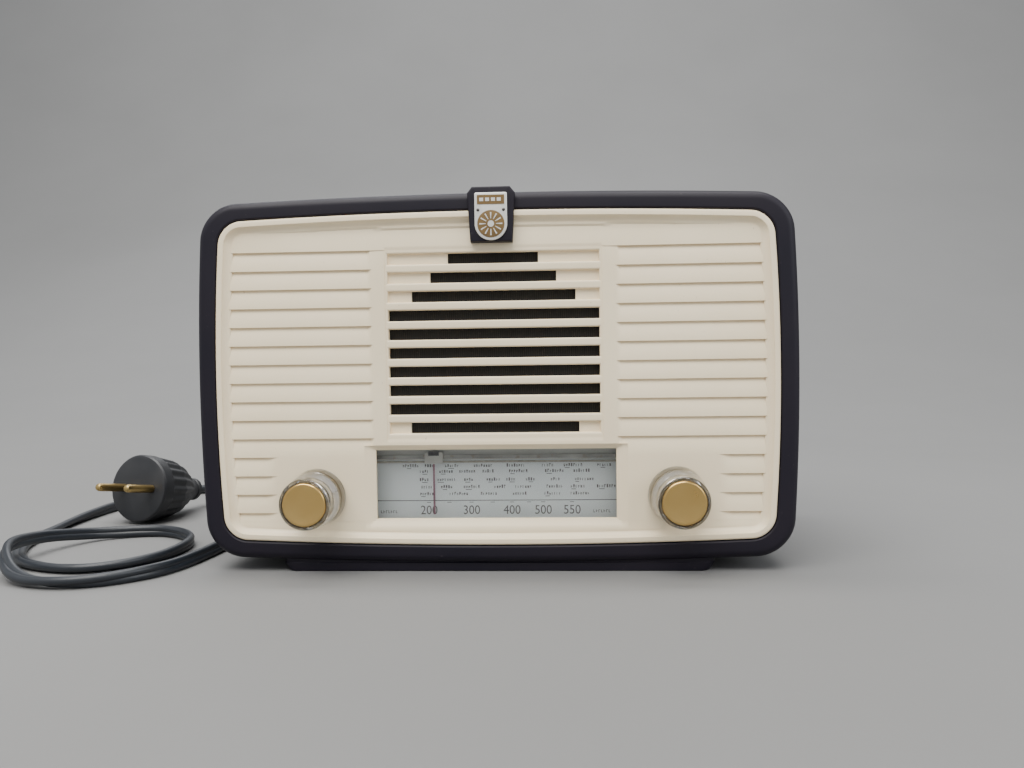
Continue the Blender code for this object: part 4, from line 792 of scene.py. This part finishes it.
# ---------------------------------------------------------------- mains lead
def cord_route():
    """The middle of the lead: a Catmull-Rom curve through the solid's points, at even spacing."""
    through = np.array([
        (-0.0720, 0.0843, 0.0190), (-0.0718, 0.1000, 0.0178), (-0.0660, 0.1210, 0.0095), (-0.0440, 0.1400, 0.0038),
        (-0.0130, 0.1400, 0.0032), (0.0090, 0.1240, 0.0032), (0.0100, 0.1010, 0.0032), (-0.0080, 0.0860, 0.0032),
        (-0.0420, 0.0830, 0.0032), (-0.0780, 0.0960, 0.0032), (-0.1080, 0.1220, 0.0032), (-0.1400, 0.1470, 0.0032),
        (-0.1800, 0.1560, 0.0032), (-0.2180, 0.1420, 0.0032), (-0.2390, 0.1070, 0.0032), (-0.2440, 0.0620, 0.0032),
        (-0.2420, 0.0180, 0.0032), (-0.2320, -0.0230, 0.0032), (-0.2100, -0.0530, 0.0032), (-0.1780, -0.0630, 0.0032),
        (-0.1540, -0.0440, 0.0032), (-0.1540, -0.0120, 0.0032), (-0.1770, 0.0080, 0.0032), (-0.2060, 0.0000, 0.0040),
        (-0.2190, -0.0270, 0.0080), (-0.2160, -0.0560, 0.0098), (-0.1960, -0.0800, 0.0050), (-0.1660, -0.0860, 0.0032),
        (-0.1420, -0.0680, 0.0032), (-0.1340, -0.0300, 0.0032), (-0.1340, 0.0140, 0.0032), (-0.1350, 0.0560, 0.0032),
        (-0.1355, 0.0900, 0.0032), (-0.1385, 0.1180, 0.0032), (-0.1510, 0.1370, 0.0032), (-0.1690, 0.1390, 0.0036),
        (-0.1835, 0.1250, 0.0060), (-0.1909, 0.1040, 0.0099), (-0.1962, 0.0841, 0.0127),
    ])
    padded = np.concatenate([[2 * through[0] - through[1]], through, [2 * through[-1] - through[-2]]])
    a, b, c, d = (padded[k : k + len(through) - 1, None] for k in range(4))
    t = np.arange(24)[None, :, None] / 24
    curve = 0.5 * (2 * b + (c - a) * t + (2 * a - 5 * b + 4 * c - d) * t**2 + (3 * b - a - 3 * c + d) * t**3)
    curve = np.concatenate([curve.reshape(-1, 3), through[-1:]])
    walked = np.concatenate([[0], np.cumsum(np.linalg.norm(np.diff(curve, axis=0), axis=1))])
    even = np.linspace(0, walked[-1], 640)
    return np.stack([np.interp(even, walked, curve[:, k]) for k in range(3)], axis=1), walked[-1]


def make_cord(finishes):
    """Twin flex: a figure of eight carried along the route and rolled over by slow half turns. Where the flex stands
    on edge its middle is lifted, so that its lowest point stays on the floor."""
    route, length = cord_route()
    lobe, offset = 0.0018, 0.0012
    way = np.gradient(route, axis=0)
    way /= np.linalg.norm(way, axis=1, keepdims=True)
    side = np.cross(way, (0, 0, 1))
    side /= np.linalg.norm(side, axis=1, keepdims=True)
    up = np.cross(side, way)
    walked = np.linspace(0, length, len(route))
    roll = 0.35 * np.sin(walked * 21) + 0.5 * math.pi * (
        ease((walked - 0.46) / 0.09) + ease((walked - 0.66) / 0.08) + 2 * ease((walked - 0.80) / 0.16)
        + ease((walked - 1.06) / 0.10) + ease((walked - 0.20) / 0.12)
    )
    lift = offset * np.abs(np.sin(roll)) + lobe - 0.0030
    near_floor = 1 - ease((route[:, 2] - 0.0040) / 0.006)
    middle = route.copy()
    middle[:, 2] += (lift - 0.0001) * near_floor
    angle = np.linspace(0, 2 * math.pi, 28, endpoint=False)
    radius = offset * np.abs(np.cos(angle)) + np.sqrt(lobe**2 - (offset * np.sin(angle)) ** 2)
    swell = 1 + 0.012 * np.sin(walked * 310)[:, None, None]
    a = (radius * np.cos(angle))[None, :, None] * swell
    b = (radius * np.sin(angle))[None, :, None] * swell
    turn_side = np.cos(roll)[:, None, None] * side[:, None] + np.sin(roll)[:, None, None] * up[:, None]
    turn_up = -np.sin(roll)[:, None, None] * side[:, None] + np.cos(roll)[:, None, None] * up[:, None]
    rings = middle[:, None] + a * turn_side + b * turn_up
    lead = piece("mains_flex", [loft(rings)], finishes["rubber"], stands_for=["mains_cord"], sharp=60)

    sleeve = [(0, 0.0002), (0.0066, 0.0002), (0.0070, 0.0006), (0.0070, 0.0018), (0.0053, 0.0018), (0.0053, 0.0050),
              (0.0070, 0.0050), (0.0072, 0.0056), (0.0070, 0.0066), (0.0062, 0.0074)]
    for k in range(6):
        start = 0.0084 + 0.0031 * k
        size = 0.0060 - 0.00034 * k
        neck = size - 0.0010
        sleeve += [(size, start), (size, start + 0.0016), (neck, start + 0.0019), (neck, start + 0.0029)]
    sleeve += [(0.0036, 0.0268), (0, 0.0268)]
    piece("cord_sleeve", [turned(sleeve, GLAND, steps=64)], finishes["plug"], stands_for=["cord_gland"])

    body = [(0, -0.0002), (0.0165, -0.0002), (0.0180, -0.0006), (0.0187, -0.0016), (0.0187, -0.0075)]
    grip = [(0.0187 - 0.0016 * s - 0.0003 * (k % 2), -0.0078 - 0.0130 * s) for k, s in enumerate(np.linspace(0, 1, 12))]
    body += grip + [(0.0160, -0.0240), (0.0140, -0.0285), (0.0118, -0.0320), (0.0092, -0.0358), (0.0074, -0.0390),
                    (0.0070, -0.0410), (0.0070, -0.0418), (0.0060, -0.0422), (0.0060, -0.0430), (0.0067, -0.0434),
                    (0.0066, -0.0458), (0.0058, -0.0462), (0, -0.0462)]
    rows = np.arange(5, 5 + len(grip) + 3)
    shell = piece("plug_shell", [turned(body, PLUG_NOSE, ALONG_PLUG, 160, 20, 0.0011, rows)], finishes["plug"],
                  stands_for=["plug_body"])
    pin = [(0, 0.0190), (0.0010, 0.0189), (0.0017, 0.0184), (0.0021, 0.0174), (0.0022, 0.0160), (0.0022, -0.0001),
           (0, -0.0001)]
    for sign, name in ((-1, "left"), (1, "right")):
        offset_at = np.array(ALONG_PLUG)[:3, :3] @ (0, sign * 0.0095, 0)
        piece("plug_prong_" + name, [turned(pin, np.add(PLUG_NOSE, offset_at), ALONG_PLUG, 40)],
                          finishes["brass"], stands_for=["plug_pin_" + name])


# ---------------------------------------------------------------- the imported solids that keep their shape
def dress(finishes):
    """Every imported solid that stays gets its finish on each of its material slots."""
    for name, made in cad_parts.items():
        for key, names in {
            "steel": ("chassis", "back_screw", "gang_frame", "rectifier_socket", "transformer_core", "volume_pot",
                      "speaker_basket", "pointer_rail", "drive_drum", "chassis_screw", "volume_nut"),
            "aluminium": ("if_can", "gang_rotor", "gang_stator", "smoothing_capacitor"),
            "brass": ("spindle", "tuning_bush", "cord_pulley"),
            "ceramic": ("socket", "dropper", "magnet"),
            "valve_glass": ("_valve",),
            "winding": ("winding",),
            "board": ("back_cover", "baffle", "aerial"),
            "cloth": ("speaker_cloth",),
            "paper": ("speaker_cone",),
            "glass": ("dial_glass",),
            "scale": ("dial_scale",),
            "white": ("pointer_carriage",),
            "mauve": ("dial_pointer",),
            "thread": ("dial_cord",),
        }.items():
            if any(word in name for word in names) and not ("aerial" in name and key == "ceramic"):
                for holder in made.material_slots:
                    holder.material = finishes[key]
                break


# ---------------------------------------------------------------- floor and light
def make_studio(finishes):
    """A floor that curls up behind into a backdrop: a straight run, a quarter circle and a wall, carried across."""
    arc = np.linspace(0, math.pi / 2, 24)
    depth = np.concatenate([[-3.0], SWEEP_Y + SWEEP_RADIUS * np.sin(arc), [2.65]])
    height = np.concatenate([[0.0], SWEEP_RADIUS - SWEEP_RADIUS * np.cos(arc), [4.5]])
    across = np.linspace(-5, 5, 9)
    grid = np.stack([np.broadcast_to(across[:, None], (9, len(depth))), np.broadcast_to(depth, (9, len(depth))),
                     np.broadcast_to(height, (9, len(depth)))], axis=2)
    points, quads = patch(grid)
    mesh = bpy.data.meshes.new("studio_floor")
    mesh.from_pydata(points.tolist(), [], quads[:, ::-1].tolist())
    link("studio_floor", mesh, finishes["floor"], None, (), 60)

    for name, at, target, wide, tall, power, colour in (
        ("key_light", (-0.25, -0.75, 1.25), (0, 0, 0.08), 1.3, 0.8, 29.0, (1.0, 0.975, 0.93)),
        ("fill_light", (1.3, -0.8, 0.8), (0, 0, 0.08), 0.9, 0.9, 8.0, (0.93, 0.96, 1.0)),
        ("back_light", (-0.5, 1.3, 1.3), (0, 0.1, 0.1), 1.2, 0.8, 10.0, (0.97, 0.98, 1.0)),
        ("backdrop_light", (0, 0.3, 2.6), (0, 2.3, 0.9), 2.4, 0.8, 105.0, (1.0, 1.0, 0.99)),
    ):
        lamp = bpy.data.lights.new(name, "AREA")
        lamp.shape, lamp.size, lamp.size_y, lamp.energy, lamp.color = "RECTANGLE", wide, tall, power, colour
        holder = bpy.data.objects.new(name, lamp)
        bpy.context.scene.collection.objects.link(holder)
        aim(holder, at, target)
    world = bpy.data.worlds.new("soft_room")
    world.use_nodes = True
    world.node_tree.nodes["Background"].inputs["Color"].default_value = (0.96, 0.98, 1.0, 1)
    world.node_tree.nodes["Background"].inputs["Strength"].default_value = 0.75
    bpy.context.scene.world = world


make_camera()
finishes = make_finishes()
make_cord(finishes)
make_cabinet(finishes)
make_badge(finishes)
make_front(finishes)
make_dial_print(finishes)
make_knobs(finishes)
dress(finishes)
make_studio(finishes)
